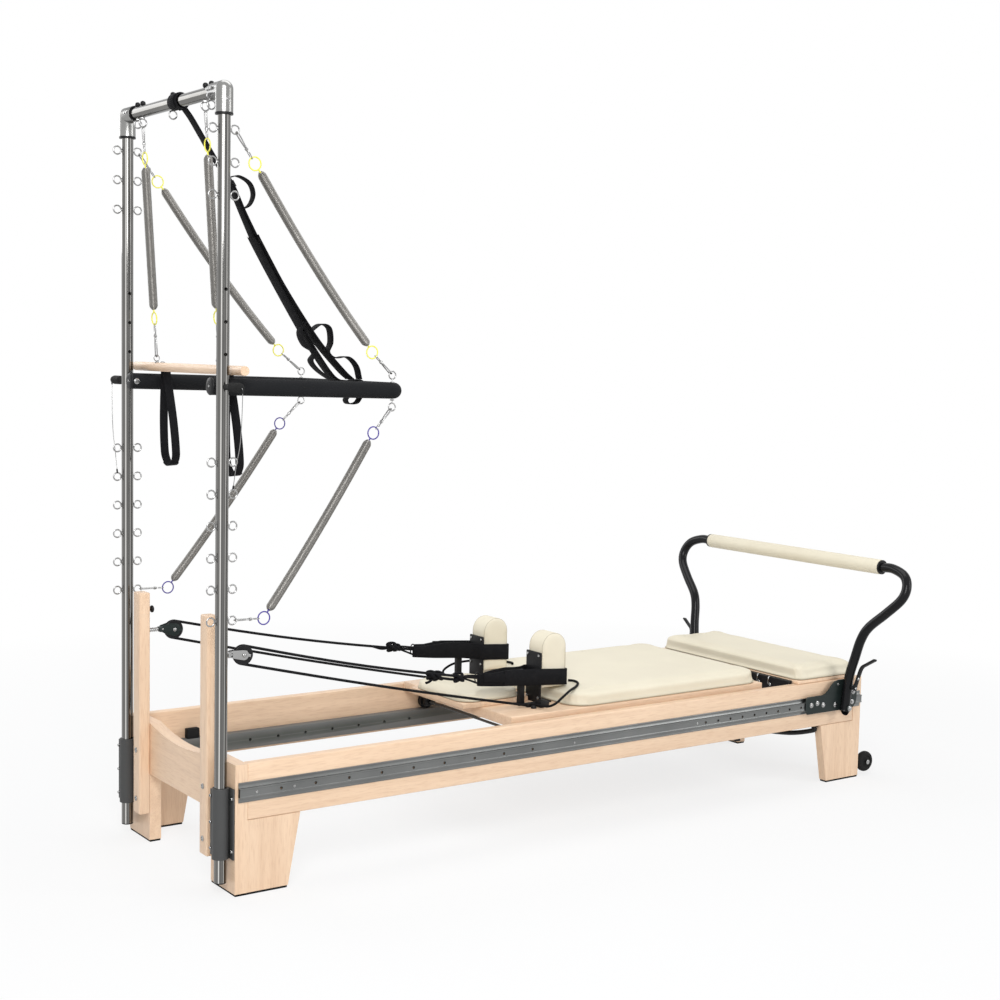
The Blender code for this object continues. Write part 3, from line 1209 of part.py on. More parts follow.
def build_footbar(frame, footbar, levers):
    """Plates with pivots on the outer tracks, the bent bar, its padded grip and levers."""
    facing = Matrix.Rotation(math.pi / 2, 4, 'X')
    plate_in = OUTER_TRACK_FACE + GAP
    axle_out = ARM_OUT + FOOTBAR_R + GAP
    for side in SIDES:
        middle = side * (plate_in + BRACKET_THICK / 2)
        bracket = plate([bracket_outline()], BRACKET_THICK,
                        Matrix.Translation((0, middle, 0)) @ facing)
        axle = [(0.0, plate_in + BRACKET_THICK / 2), (FOOT_AXLE_R, plate_in + BRACKET_THICK / 2),
                (FOOT_AXLE_R, axle_out), (2 * FOOT_AXLE_R, axle_out),
                (2 * FOOT_AXLE_R, axle_out + BOLT_HEAD), (0.0, axle_out + BOLT_HEAD)]
        bracket = fuse(bracket, lathe(axle, (FOOTBAR_X, 0, FOOTBAR_Z), (0, side, 0), 12))
        make_part(f"footbar_bracket_{SIDE_NAMES[side]}", bracket, GREY_PAINT, frame)

    half = [(-FOOTBAR_TAIL, 0.0), (0.0, 0.0), *FOOTBAR_SIDE]
    route = [footbar_spot(rise, ARM_OUT + out, -1) for rise, out in half]
    route.append(footbar_spot(FOOTBAR_TOP, ARM_OUT + FOOTBAR_IN, -1))
    route.append(footbar_spot(FOOTBAR_TOP, ARM_OUT + FOOTBAR_IN - 3 * FOOTBAR_R, -1))
    route = smooth_route(route, 2)
    mirror = [Vector((p.x, -p.y, p.z)) for p in reversed(route)]
    bar = wire(route + mirror, FOOTBAR_R, 2)
    bore = rod((FOOTBAR_X, -BED_WIDTH, FOOTBAR_Z), (FOOTBAR_X, BED_WIDTH, FOOTBAR_Z),
               FOOT_AXLE_R + PLAY, 12)
    make_part("footbar_tube", cut(bar, bore), BLACK, footbar)

    grip = [(FOOTBAR_R + PLAY, -SLEEVE_GRIP_HALF), (SLEEVE_GRIP_R, -SLEEVE_GRIP_HALF),
            (SLEEVE_GRIP_R, SLEEVE_GRIP_HALF), (FOOTBAR_R + PLAY, SLEEVE_GRIP_HALF)]
    make_part("footbar_sleeve", lathe(grip, footbar_spot(FOOTBAR_TOP, 0, 1), (0, 1, 0), 16),
              CREAM, footbar)

    for side, body in zip(SIDES, levers):
        base = lever_base(side)
        boss = rod(base + Vector((0, side * LEVER_STAND, 0)),
                   base - Vector((0, side * (LEVER_R + LEVER_BOSS), 0)), LEVER_R, 8)
        make_part(f"lever_{SIDE_NAMES[side]}", fuse(lever_strip(base, side), boss), GREY_PAINT,
                  body)


def lever_strip(base, side):
    """A flat strip beside the footbar's arm, bent outward above its middle."""
    half = LEVER_THICK / 2
    line = [Vector((0.0, -LEVER_TAIL)), Vector((0.0, LEVER_TAIL)),
            Vector((LEVER_BEND_OUT, LEVER_BEND)), Vector((LEVER_OUT, LEVER_RISE))]
    edges = [[], []]
    for i, spot in enumerate(line):
        first = (spot - line[i - 1]).normalized() if i else None
        second = (line[i + 1] - spot).normalized() if i + 1 < len(line) else first
        first = first or second
        normal = Vector((-first.y - second.y, first.x + second.x)).normalized()
        reach = half / normal.dot(Vector((-first.y, first.x)))
        edges[0].append(spot + normal * reach)
        edges[1].append(spot - normal * reach)
    outline = [(side * p.x, p.y) for p in edges[0] + edges[1][::-1]]
    stand = Matrix(((0, 0, 1, LEVER_AHEAD), (1, 0, 0, side * LEVER_STAND), (0, 1, 0, 0),
                    (0, 0, 0, 1)))
    lean = Matrix.Translation(base) @ Matrix.Rotation(FOOTBAR_TILT, 4, 'Y')
    return plate([outline], LEVER_WIDE, lean @ stand)


def lever_base(side):
    """Where a lever's lower end lies against the footbar's arm."""
    flare = FOOTBAR_SIDE[0][1]
    return footbar_spot(LEVER_S, ARM_OUT + flare + FOOTBAR_R + PLAY + LEVER_R, side)


def build_wheels(wheels):
    """Two transport wheels on the foot end's brackets."""
    half = WHEEL_WIDE / 2
    profile = [(BORE_R, -half), (WHEEL_R - 0.003, -half), (WHEEL_R, -half + 0.003),
               (WHEEL_R, half - 0.003), (WHEEL_R - 0.003, half), (BORE_R, half)]
    for side, body in zip(SIDES, wheels):
        wheel = lathe(profile, (WHEEL_X, side * WHEEL_Y, WHEEL_Z), (0, 1, 0), 16)
        make_part(f"wheel_{SIDE_NAMES[side]}", wheel, RUBBER, body)


def centre_on_floor():
    """Move the whole model so that the middle of its box is over the origin."""
    bpy.context.view_layer.update()
    graph = bpy.context.evaluated_depsgraph_get()
    reach = []
    for part in parts.objects:
        if part.type != 'MESH':
            continue
        mesh = part.evaluated_get(graph).to_mesh()
        reach += [(part.matrix_world @ vert.co).x for vert in mesh.vertices]
        part.evaluated_get(graph).to_mesh_clear()
    root.location.x = -(min(reach) + max(reach)) / 2
    bpy.context.view_layer.update()


def main():
    """Build the reformer and report where its joints are."""
    global parts, root
    clear_scene()
    parts = bpy.data.collections.new("pilates_reformer_tower")
    bpy.context.scene.collection.children.link(parts)
    root = make_empty("reformer", (0, 0, 0))

    frame = make_empty("frame", (0, 0, 0), root)
    carriage = make_empty("carriage_axis", (REAR_ROLLER_X, 0, ROLLER_Z), root)
    front = make_empty("front_roller_axis", (FRONT_ROLLER_X, 0, ROLLER_Z), carriage)
    rear = make_empty("rear_roller_axis", (REAR_ROLLER_X, 0, ROLLER_Z), carriage)
    headrest = make_empty("headrest_axis", (HEADREST_FOOT, 0, CARRIAGE_TOP + GAP), carriage)
    footbar = make_empty("footbar_axis", (FOOTBAR_X, 0, FOOTBAR_Z), root)
    levers = [make_empty(f"lever_axis_{SIDE_NAMES[side]}", lever_base(side), footbar)
              for side in SIDES]
    push = make_empty("push_bar_axis", (UPRIGHT_X, 0, PIVOT_Z), root)
    hang = make_empty("roll_down_axis", (UPRIGHT_X, 0, CROSSBAR_EYE_Z), root,
                      (0.0, -HANG_LEAN, 0.0))
    sheaves = [make_empty(f"sheave_axis_{SIDE_NAMES[side]}", (SHEAVE_X, side * POST_Y, SHEAVE_Z),
                          root) for side in SIDES]
    pins = [make_empty(f"pin_axis_{SIDE_NAMES[side]}", (UPRIGHT_X, side * UPRIGHT_Y, PIVOT_Z),
                       root) for side in SIDES]
    wheels = [make_empty(f"wheel_axis_{SIDE_NAMES[side]}", (WHEEL_X, side * WHEEL_Y, WHEEL_Z),
                         root) for side in SIDES]

    build_bed(frame)
    build_tracks(frame)
    build_bow(frame)
    build_uprights(frame)
    build_platform(frame)
    build_pulleys(frame, sheaves)
    build_carriage(carriage, headrest)
    build_ropes(carriage)
    build_rollers(front, rear)
    build_footbar(frame, footbar, levers)
    build_push_bar(push)
    build_safety_strap(push)
    build_bar_springs(push)
    build_roll_down(hang)
    build_pins(pins)
    build_wheels(wheels)
    centre_on_floor()
    for thing in parts.objects:
        if thing.type == 'EMPTY':
            x, y, z = thing.matrix_world.translation
            print(f"{thing.name}: {x:.5f} {y:.5f} {z:.5f}")
    print(f"slide reach {SLIDE_REACH:.4f}")


main()
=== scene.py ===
"""Looks of a pilates reformer with a tower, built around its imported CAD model.

Places along the bed are written from the outer face of the head end, and at()
moves them into the model's frame.  Near is the side toward the camera.
"""
import math

import bmesh
import bpy
from mathutils import Matrix, Vector


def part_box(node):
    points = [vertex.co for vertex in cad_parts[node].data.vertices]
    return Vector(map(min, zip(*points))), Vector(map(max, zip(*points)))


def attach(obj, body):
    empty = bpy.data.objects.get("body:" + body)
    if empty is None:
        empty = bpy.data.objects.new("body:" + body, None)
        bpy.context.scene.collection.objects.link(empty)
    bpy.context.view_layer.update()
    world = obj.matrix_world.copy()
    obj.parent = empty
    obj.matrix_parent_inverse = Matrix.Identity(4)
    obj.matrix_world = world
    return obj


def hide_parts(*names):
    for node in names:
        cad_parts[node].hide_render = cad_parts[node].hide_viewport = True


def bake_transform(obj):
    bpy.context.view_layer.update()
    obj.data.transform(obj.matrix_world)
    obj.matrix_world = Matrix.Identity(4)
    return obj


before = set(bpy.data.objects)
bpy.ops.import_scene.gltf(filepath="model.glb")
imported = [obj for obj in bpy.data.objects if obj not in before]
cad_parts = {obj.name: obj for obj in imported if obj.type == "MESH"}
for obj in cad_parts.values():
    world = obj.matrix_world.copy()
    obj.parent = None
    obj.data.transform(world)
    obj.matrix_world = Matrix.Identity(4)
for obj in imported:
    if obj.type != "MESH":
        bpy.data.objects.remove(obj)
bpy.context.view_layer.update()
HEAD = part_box("head_end")[0].x
SIDES = ((-1, "near"), (1, "far"))


def at(x, y, z):
    """A place on the reformer, with x measured from the head end's outer face."""
    return Vector((HEAD + x, y, z))


# Camera, lamps and backdrop

def set_up_camera():
    """The photograph's view, solved from the bed and the tower."""
    yaw, pitch, roll = math.radians(54.7226), math.radians(-5.2144), math.radians(1.2169)
    ahead = Vector((math.cos(yaw) * math.cos(pitch), math.sin(yaw) * math.cos(pitch),
                    math.sin(pitch)))
    right = ahead.cross(Vector((0, 0, 1))).normalized()
    up = right.cross(ahead)
    rolled_right = right * math.cos(roll) + up * math.sin(roll)
    rolled_up = up * math.cos(roll) - right * math.sin(roll)
    bpy.ops.object.camera_add(location=at(-1.8034, -4.0564, 1.4245))
    camera = bpy.context.object
    camera.name = "camera"
    camera.rotation_euler = Matrix((rolled_right, rolled_up, -ahead)).transposed().to_euler()
    camera.data.sensor_width = 36
    camera.data.lens = 57.82
    camera.data.clip_end = 60
    bpy.context.scene.camera = camera


def soft_lamp(name, place, target, size, power):
    """A large rectangular lamp aimed at a point."""
    bpy.ops.object.light_add(type='AREA', location=place)
    lamp = bpy.context.object
    lamp.name = name
    lamp.data.shape = 'RECTANGLE'
    lamp.data.size, lamp.data.size_y = size
    lamp.data.energy = power
    lamp.rotation_euler = (Vector(target) - Vector(place)).to_track_quat('-Z', 'Y').to_euler()


def shows_backdrop(tree):
    """A value of 1 where the camera, a gloss or a clear material looks, and 0 for light."""
    rays = tree.nodes.new("ShaderNodeLightPath").outputs
    glossy = math_node(tree, 'MAXIMUM', rays["Is Camera Ray"], rays["Is Glossy Ray"])
    return math_node(tree, 'MAXIMUM', glossy, rays["Is Transmission Ray"])


def set_up_studio():
    """A white backdrop, a pale floor that keeps the shadow, and soft lamps."""
    world = bpy.data.worlds.new("studio")
    bpy.context.scene.world = world
    world.use_nodes = True
    tree = world.node_tree
    tree.nodes.clear()
    fill = add_node(tree, "ShaderNodeBackground",
                    [("Color", (0.93, 0.96, 1.0, 1.0)), ("Strength", 0.42)])
    white = add_node(tree, "ShaderNodeBackground",
                     [("Color", (1.0, 1.0, 1.0, 1.0)), ("Strength", 1.0)])
    mix = add_node(tree, "ShaderNodeMixShader", [(0, shows_backdrop(tree)), (1, fill.outputs[0]),
                                                 (2, white.outputs[0])])
    add_node(tree, "ShaderNodeOutputWorld", [("Surface", mix.outputs[0])])

    bpy.ops.mesh.primitive_plane_add(size=60)
    floor = bpy.context.object
    floor.name = "floor"
    pale = bpy.data.materials.new("pale_floor")
    pale.use_nodes = True
    tree = pale.node_tree
    shader = tree.nodes["Principled BSDF"]
    shader.inputs["Base Color"].default_value = (0.82, 0.82, 0.82, 1.0)
    shader.inputs["Roughness"].default_value = 0.9
    shader.inputs["Specular IOR Level"].default_value = 0.0
    glow = add_node(tree, "ShaderNodeEmission", [("Strength", 1.0)])
    spot = tree.nodes.new("ShaderNodeTexCoord").outputs["Object"]
    reach = add_node(tree, "ShaderNodeVectorMath", [(0, spot)], operation='LENGTH')
    whiter = add_node(tree, "ShaderNodeMapRange",
                      [("Value", reach.outputs["Value"]), ("From Min", 1.3), ("From Max", 3.6),
                       ("To Min", 0.78), ("To Max", 1.0)])
    share = math_node(tree, 'MULTIPLY', shows_backdrop(tree), whiter.outputs["Result"])
    mix = add_node(tree, "ShaderNodeMixShader", [(0, share), (1, shader.outputs[0]),
                                                 (2, glow.outputs[0])])
    tree.links.new(mix.outputs[0], tree.nodes["Material Output"].inputs["Surface"])
    floor.data.materials.append(pale)

    soft_lamp("key", at(-1.6, -3.4, 3.0), at(1.1, 0, 0.5), (1.8, 2.4), 135)
    soft_lamp("overhead", at(1.4, 0.3, 4.2), at(1.2, 0, 0.3), (3.4, 2.2), 58)
    soft_lamp("side", at(4.2, -3.2, 1.9), at(1.2, 0, 0.6), (1.2, 2.6), 44)
    soft_lamp("back", at(-0.6, 3.4, 2.6), at(0.6, 0, 0.8), (2.4, 1.6), 34)
    scene = bpy.context.scene
    scene.view_settings.view_transform = 'Standard'


# Effects that several finishes share

def new_effect(name, inputs, outputs):
    """An empty node group with its named sockets."""
    effect = bpy.data.node_groups.new(name, 'ShaderNodeTree')
    for label, kind, value in inputs:
        socket = effect.interface.new_socket(label, in_out='INPUT', socket_type=kind)
        socket.default_value = value
    for label in outputs:
        effect.interface.new_socket(label, in_out='OUTPUT', socket_type='NodeSocketFloat')
    return effect, effect.nodes.new("NodeGroupInput"), effect.nodes.new("NodeGroupOutput")


def feed(tree, socket, source):
    """Links a socket to an output, or gives it a plain value."""
    if isinstance(source, bpy.types.NodeSocket):
        tree.links.new(source, socket)
    else:
        socket.default_value = source


def add_node(tree, kind, links=(), **values):
    """A node with its values set and its inputs linked."""
    node = tree.nodes.new(kind)
    for key, value in values.items():
        setattr(node, key, value)
    for socket, source in links:
        feed(tree, node.inputs[socket], source)
    return node


def math_node(tree, operation, first, second):
    """The output of one Math node."""
    return add_node(tree, "ShaderNodeMath", [(0, first), (1, second)],
                    operation=operation).outputs[0]


def make_wood_effect():
    """Long soft streaks, and short flecks along them."""
    effect, given, result = new_effect(
        "wood_figure", [("Vector", 'NodeSocketVector', (0, 0, 0)),
                        ("Streaks", 'NodeSocketVector', (1, 12, 12)),
                        ("Flecks", 'NodeSocketVector', (30, 300, 300))],
        ["Streak", "Fleck"])
    for label, out, scale, detail in (("Streaks", "Streak", 2.2, 5.0),
                                      ("Flecks", "Fleck", 1.0, 2.0)):
        spread = add_node(effect, "ShaderNodeMapping",
                          [("Vector", given.outputs["Vector"]), ("Scale", given.outputs[label])])
        cloud = add_node(effect, "ShaderNodeTexNoise",
                         [("Vector", spread.outputs[0]), ("Scale", scale), ("Detail", detail),
                          ("Distortion", 0.35)])
        effect.links.new(cloud.outputs["Fac"], result.inputs[out])
    return effect


def make_pebble_effect():
    """The fine pebbles of upholstery vinyl."""
    effect, given, result = new_effect(
        "vinyl_pebbles", [("Vector", 'NodeSocketVector', (0, 0, 0)),
                          ("Pebbles", 'NodeSocketFloat', 700.0)], ["Height", "Tone"])
    cells = add_node(effect, "ShaderNodeTexVoronoi",
                     [("Vector", given.outputs["Vector"]), ("Scale", given.outputs["Pebbles"])])
    cloud = add_node(effect, "ShaderNodeTexNoise",
                     [("Vector", given.outputs["Vector"]), ("Scale", 6.0), ("Detail", 4.0)])
    effect.links.new(cells.outputs["Distance"], result.inputs["Height"])
    effect.links.new(cloud.outputs["Fac"], result.inputs["Tone"])
    return effect


def make_weave_effect():
    """Ribs across and yarns along, on a map that is in metres."""
    effect, given, result = new_effect(
        "webbing_weave", [("Vector", 'NodeSocketVector', (0, 0, 0)),
                          ("Across", 'NodeSocketFloat', 900.0),
                          ("Along", 'NodeSocketFloat', 500.0)], ["Height", "Tone"])
    parts = add_node(effect, "ShaderNodeSeparateXYZ", [(0, given.outputs["Vector"])])
    waves = []
    for axis, rate in (("X", "Across"), ("Y", "Along")):
        phase = math_node(effect, 'MULTIPLY', parts.outputs[axis], given.outputs[rate])
        waves.append(math_node(effect, 'SINE', phase, 0.0))
    woven = math_node(effect, 'MULTIPLY', waves[0], waves[1])
    effect.links.new(woven, result.inputs["Height"])
    cloud = add_node(effect, "ShaderNodeTexNoise",
                     [("Vector", given.outputs["Vector"]), ("Scale", 60.0), ("Detail", 3.0)])
    effect.links.new(cloud.outputs["Fac"], result.inputs["Tone"])
    return effect


def make_smudge_effect():
    """Broad cloudy patches and fine lines, for handled metal, paint and plastic."""
    effect, given, result = new_effect(
        "handling_marks", [("Vector", 'NodeSocketVector', (0, 0, 0)),
                           ("Patches", 'NodeSocketFloat', 9.0),
                           ("Lines", 'NodeSocketVector', (20, 20, 900))], ["Patch", "Line"])
    cloud = add_node(effect, "ShaderNodeTexNoise",
                     [("Vector", given.outputs["Vector"]), ("Scale", given.outputs["Patches"]),
                      ("Detail", 5.0)])
    spread = add_node(effect, "ShaderNodeMapping",
                      [("Vector", given.outputs["Vector"]), ("Scale", given.outputs["Lines"])])
    lines = add_node(effect, "ShaderNodeTexNoise",
                     [("Vector", spread.outputs[0]), ("Scale", 1.0), ("Detail", 3.0)])
    effect.links.new(cloud.outputs["Fac"], result.inputs["Patch"])
    effect.links.new(lines.outputs["Fac"], result.inputs["Line"])
    return effect


def make_wear_effect():
    """A mask of the convex edges that hands and shoes rub."""
    effect, given, result = new_effect(
        "rubbed_edges", [("Start", 'NodeSocketFloat', 0.52), ("End", 'NodeSocketFloat', 0.62)],
        ["Rub"])
    shape = effect.nodes.new("ShaderNodeNewGeometry")
    span = add_node(effect, "ShaderNodeMapRange",
                    [("Value", shape.outputs["Pointiness"]), ("From Min", given.outputs["Start"]),
                     ("From Max", given.outputs["End"])])
    effect.links.new(span.outputs[0], result.inputs["Rub"])
    return effect


WOOD_EFFECT = make_wood_effect()
PEBBLE_EFFECT = make_pebble_effect()
WEAVE_EFFECT = make_weave_effect()
SMUDGE_EFFECT = make_smudge_effect()
WEAR_EFFECT = make_wear_effect()


# Finishes

class Finish:
    """A material under construction: its tree, its shader and the object's coordinates."""

    def __init__(self, name, roughness, metallic=0.0):
        self.material = bpy.data.materials.new(name)
        self.material.use_nodes = True
        self.tree = self.material.node_tree
        self.shader = self.tree.nodes["Principled BSDF"]
        self.shader.inputs["Roughness"].default_value = roughness
        self.shader.inputs["Metallic"].default_value = metallic
        self.place = self.tree.nodes.new("ShaderNodeTexCoord").outputs["Object"]

    def effect(self, group, **values):
        """A shared effect placed in this material."""
        node = self.tree.nodes.new("ShaderNodeGroup")
        node.node_tree = group
        for label, value in values.items():
            feed(self.tree, node.inputs[label], value)
        return node

    def ramp(self, source, stops):
        """Colours spread along a value; the result of a ramp."""
        node = add_node(self.tree, "ShaderNodeValToRGB", [("Fac", source)])
        ramp = node.color_ramp
        for index, (place, colour) in enumerate(stops):
            stop = ramp.elements[index] if index < 2 else ramp.elements.new(place)
            stop.position = place
            stop.color = (*colour, 1.0)
        return node.outputs["Color"]

    def blend(self, share, first, second, mode='MIX'):
        """Two colours mixed by a value."""
        node = add_node(self.tree, "ShaderNodeMix", [(0, share), (6, first), (7, second)],
                        data_type='RGBA', blend_type=mode)
        return node.outputs[2]

    def span(self, source, low, high):
        """A value of about 0 to 1 spread from low to high."""
        return add_node(self.tree, "ShaderNodeMapRange",
                        [("Value", source), ("From Min", 0.3), ("From Max", 0.7),
                         ("To Min", low), ("To Max", high)]).outputs[0]

    def link(self, label, source):
        """Feeds a shader socket."""
        self.tree.links.new(source, self.shader.inputs[label])

    def bump(self, height, strength, distance):
        """Feeds the shader's normal from a height."""
        node = add_node(self.tree, "ShaderNodeBump",
                        [("Height", height), ("Strength", strength), ("Distance", distance)])
        self.link("Normal", node.outputs[0])


def maple(name, streaks, flecks, dark, pale):
    """Pale maple under satin lacquer, with its figure along one direction."""
    finish = Finish(name, 0.42)
    figure = finish.effect(WOOD_EFFECT, Vector=finish.place, Streaks=streaks, Flecks=flecks)
    broad = finish.ramp(figure.outputs["Streak"], [(0.30, dark), (0.68, pale)])
    fleck = finish.ramp(figure.outputs["Fleck"], [(0.34, (0.86, 0.80, 0.76)), (0.50, (1, 1, 1))])
    colour = finish.blend(0.55, broad, fleck, 'MULTIPLY')
    finish.link("Base Color", colour)
    finish.link("Roughness", finish.span(figure.outputs["Streak"], 0.36, 0.50))
    finish.bump(figure.outputs["Fleck"], 0.10, 0.0004)
    finish.shader.inputs["Coat Weight"].default_value = 0.12
    finish.shader.inputs["Coat Roughness"].default_value = 0.25
    return finish.material


def vinyl(name, dark, pale):
    """Cream upholstery vinyl with a fine grain."""
    finish = Finish(name, 0.5)
    grain = finish.effect(PEBBLE_EFFECT, Vector=finish.place, Pebbles=620.0)
    finish.link("Base Color", finish.ramp(grain.outputs["Tone"], [(0.3, dark), (0.7, pale)]))
    finish.link("Roughness", finish.span(grain.outputs["Tone"], 0.44, 0.58))
    finish.bump(grain.outputs["Height"], 0.22, 0.0004)
    finish.shader.inputs["Specular IOR Level"].default_value = 0.35
    return finish.material


def metal(name, dark, pale, rough, lines, fine=0.05, rim=0.0):
    """Bare or plated metal with drawing lines and handling marks, and, with rim, a painted dark
    reflection that makes it darker at its outline.
    """
    finish = Finish(name, rough[0], 1.0)
    marks = finish.effect(SMUDGE_EFFECT, Vector=finish.place, Patches=7.0, Lines=lines)
    colour = finish.ramp(marks.outputs["Patch"], [(0.3, dark), (0.7, pale)])
    # rim paints a dark reflection into the colour toward the outline, where the metal would mirror
    # dark surroundings.
    if rim:
        painted_rim_facing = add_node(finish.tree, "ShaderNodeLayerWeight", [("Blend", 0.5)])
        edge = add_node(finish.tree, "ShaderNodeMapRange",
                        [("Value", painted_rim_facing.outputs["Facing"]), ("From Min", 0.45),
                         ("From Max", 0.85), ("To Min", 0.0), ("To Max", rim)])
        colour = finish.blend(edge.outputs[0], colour, (0.015, 0.015, 0.015, 1.0))
    finish.link("Base Color", colour)
    finish.link("Roughness", finish.span(marks.outputs["Line"], *rough))
    finish.bump(marks.outputs["Line"], fine, 0.0003)
    return finish.material


def coated(name, dark, pale, rough, bump=0.06, worn=None, coat=0.0, gloss=0.35):
    """Powder coat, gloss paint or moulded plastic, a little worn along its edges."""
    finish = Finish(name, rough[0])
    marks = finish.effect(SMUDGE_EFFECT, Vector=finish.place, Patches=11.0, Lines=(700, 700, 700))
    colour = finish.ramp(marks.outputs["Patch"], [(0.3, dark), (0.7, pale)])
    if worn:
        rub = finish.effect(WEAR_EFFECT)
        colour = finish.blend(rub.outputs["Rub"], colour, (*worn, 1.0))
    finish.link("Base Color", colour)
    finish.link("Roughness", finish.span(marks.outputs["Patch"], *rough))
    finish.bump(marks.outputs["Line"], bump, 0.0003)
    finish.shader.inputs["Specular IOR Level"].default_value = gloss
    finish.shader.inputs["Coat Weight"].default_value = coat
    finish.shader.inputs["Coat Roughness"].default_value = 0.06
    return finish.material


def cloth(name, dark, pale, across, along, bump=0.6):
    """Webbing or braided cord, on the piece's own map in metres."""
    finish = Finish(name, 0.85)
    own_map = finish.tree.nodes.new("ShaderNodeUVMap")
    own_map.uv_map = "UVMap"
    weave = finish.effect(WEAVE_EFFECT, Vector=own_map.outputs[0], Across=across, Along=along)
    finish.link("Base Color", finish.ramp(weave.outputs["Height"], [(0.0, dark), (0.9, pale)]))
    finish.link("Roughness", finish.span(weave.outputs["Tone"], 0.72, 0.92))
    finish.bump(weave.outputs["Height"], bump, 0.0006)
    finish.shader.inputs["Specular IOR Level"].default_value = 0.12
    return finish.material


MAPLE_PALE, MAPLE_DARK = (0.86, 0.635, 0.445), (0.77, 0.545, 0.37)
MAPLE_ALONG = maple("maple_along_bed", (1.2, 22, 22), (24, 260, 260), MAPLE_DARK, MAPLE_PALE)
MAPLE_ACROSS = maple("maple_across_bed", (22, 1.2, 22), (260, 24, 260), MAPLE_DARK, MAPLE_PALE)
MAPLE_UPRIGHT = maple("maple_upright", (22, 22, 1.2), (260, 260, 24), MAPLE_DARK, MAPLE_PALE)
CREAM = vinyl("cream_vinyl", (0.755, 0.69, 0.54), (0.80, 0.74, 0.59))
# The seams' darker cream is painted shade, standing in for the shadow in their grooves.
CREAM_SEAM_PAINTED_SHADE = vinyl("cream_seam_painted_shade", (0.52, 0.47, 0.36), (0.58, 0.53, 0.41))
# The last value of stainless, cast, bright and spring steel sets how strong their painted dark
# reflection at the outline is.
STAINLESS = metal("stainless_tube", (0.17, 0.165, 0.155), (0.215, 0.21, 0.195), (0.07, 0.13),
                  (60, 60, 1.5), 0.02, 0.85)
CAST = metal("cast_elbow", (0.26, 0.26, 0.255), (0.33, 0.33, 0.32), (0.20, 0.32), (150, 150, 150),
             0.15, 0.8)
BRIGHT = metal("bright_hardware", (0.33, 0.33, 0.33), (0.42, 0.42, 0.415), (0.12, 0.22),
               (200, 200, 200), 0.05, 0.85)
SPRING_STEEL = metal("spring_steel", (0.22, 0.213, 0.20), (0.28, 0.27, 0.255), (0.32, 0.44),
                     (300, 300, 300), 0.03, 0.35)
ALUMINIUM = metal("track_aluminium", (0.165, 0.17, 0.168), (0.21, 0.215, 0.212), (0.30, 0.44),
                  (1.5, 400, 400), 0.08)
GREY_COAT = coated("grey_powder_coat", (0.030, 0.032, 0.031), (0.042, 0.044, 0.043), (0.45, 0.58),
                   0.25, (0.11, 0.11, 0.11), 0.0, 0.2)
TRACK_COAT = coated("track_coat", (0.080, 0.086, 0.078), (0.10, 0.107, 0.098), (0.45, 0.58), 0.2,
                    (0.2, 0.2, 0.2))
GLOSS_BLACK = coated("gloss_black", (0.006, 0.006, 0.007), (0.009, 0.009, 0.010), (0.12, 0.22),
                     0.03, None, 0.08, 0.12)
GREEN_BLACK = coated("bracket_coat", (0.010, 0.016, 0.015), (0.015, 0.022, 0.020), (0.34, 0.48),
                     0.15, (0.06, 0.07, 0.07), 0.0, 0.2)
PLASTIC = coated("black_plastic", (0.007, 0.007, 0.008), (0.011, 0.011, 0.012), (0.36, 0.52), 0.10,
                 None, 0.0, 0.2)
RUBBER = coated("black_rubber", (0.009, 0.009, 0.009), (0.015, 0.015, 0.015), (0.62, 0.80), 0.3,
                None, 0.0, 0.15)
FOAM = coated("grip_foam", (0.010, 0.0105, 0.0115), (0.015, 0.0155, 0.017), (0.72, 0.86), 0.5,
              None, 0.0, 0.1)
YELLOW = coated("yellow_ring", (0.86, 0.80, 0.07), (0.93, 0.88, 0.13), (0.30, 0.45), 0.05)
BLUE = coated("blue_ring", (0.055, 0.035, 0.25), (0.075, 0.05, 0.33), (0.30, 0.45), 0.05)
WEBBING = cloth("black_webbing", (0.005, 0.005, 0.006), (0.017, 0.017, 0.019), 2600.0, 1500.0)
PADDED_WEBBING = cloth("padded_webbing", (0.006, 0.006, 0.007), (0.016, 0.016, 0.018), 1900.0,
                       1900.0, 0.4)
BRAID = cloth("braided_rope", (0.005, 0.005, 0.006), (0.020, 0.020, 0.022), 1500.0, 1300.0, 0.9)


# Ways of working: what is selected, and how a piece is finished

def deselect():
    """Leaves edit mode and clears the selection."""
    if bpy.context.object and bpy.context.object.mode != 'OBJECT':
        bpy.ops.object.mode_set(mode='OBJECT')
    bpy.ops.object.select_all(action='DESELECT')


def only(piece):
    """Makes one piece the only selected and the active one."""
    deselect()
    piece.select_set(True)
    bpy.context.view_layer.objects.active = piece
    return piece


def settle(piece):
    """Puts a piece's place, turn and scale into its mesh."""
    only(piece)
    bpy.ops.object.transform_apply(location=True, rotation=True, scale=True)
    return piece


def edit(piece, kind='FACE'):
    """Opens a piece for editing with nothing selected, and gives its mesh."""
    only(piece)
    bpy.ops.object.mode_set(mode='EDIT')
    bpy.ops.mesh.select_mode(type=kind)
    bpy.ops.mesh.select_all(action='DESELECT')
    return bmesh.from_edit_mesh(piece.data)


def pick(piece, kind, test):
    """Opens a piece and selects the faces, edges or corners whose middle passes a test."""
    mesh = edit(piece, kind)
    layers = {'FACE': mesh.faces, 'EDGE': mesh.edges, 'VERT': mesh.verts}
    for item in layers[kind]:
        if kind == 'VERT':
            middle = item.co
        else:
            middle = sum((corner.co for corner in item.verts), Vector()) / len(item.verts)
        if test(middle, item):
            item.select = True
    mesh.select_flush_mode()
    bmesh.update_edit_mesh(piece.data)


def close(piece, angle=35):
    """Leaves edit mode and shades a piece smooth, with its sharp edges kept."""
    only(piece)
    bpy.ops.object.shade_smooth_by_angle(angle=math.radians(angle))
    return piece


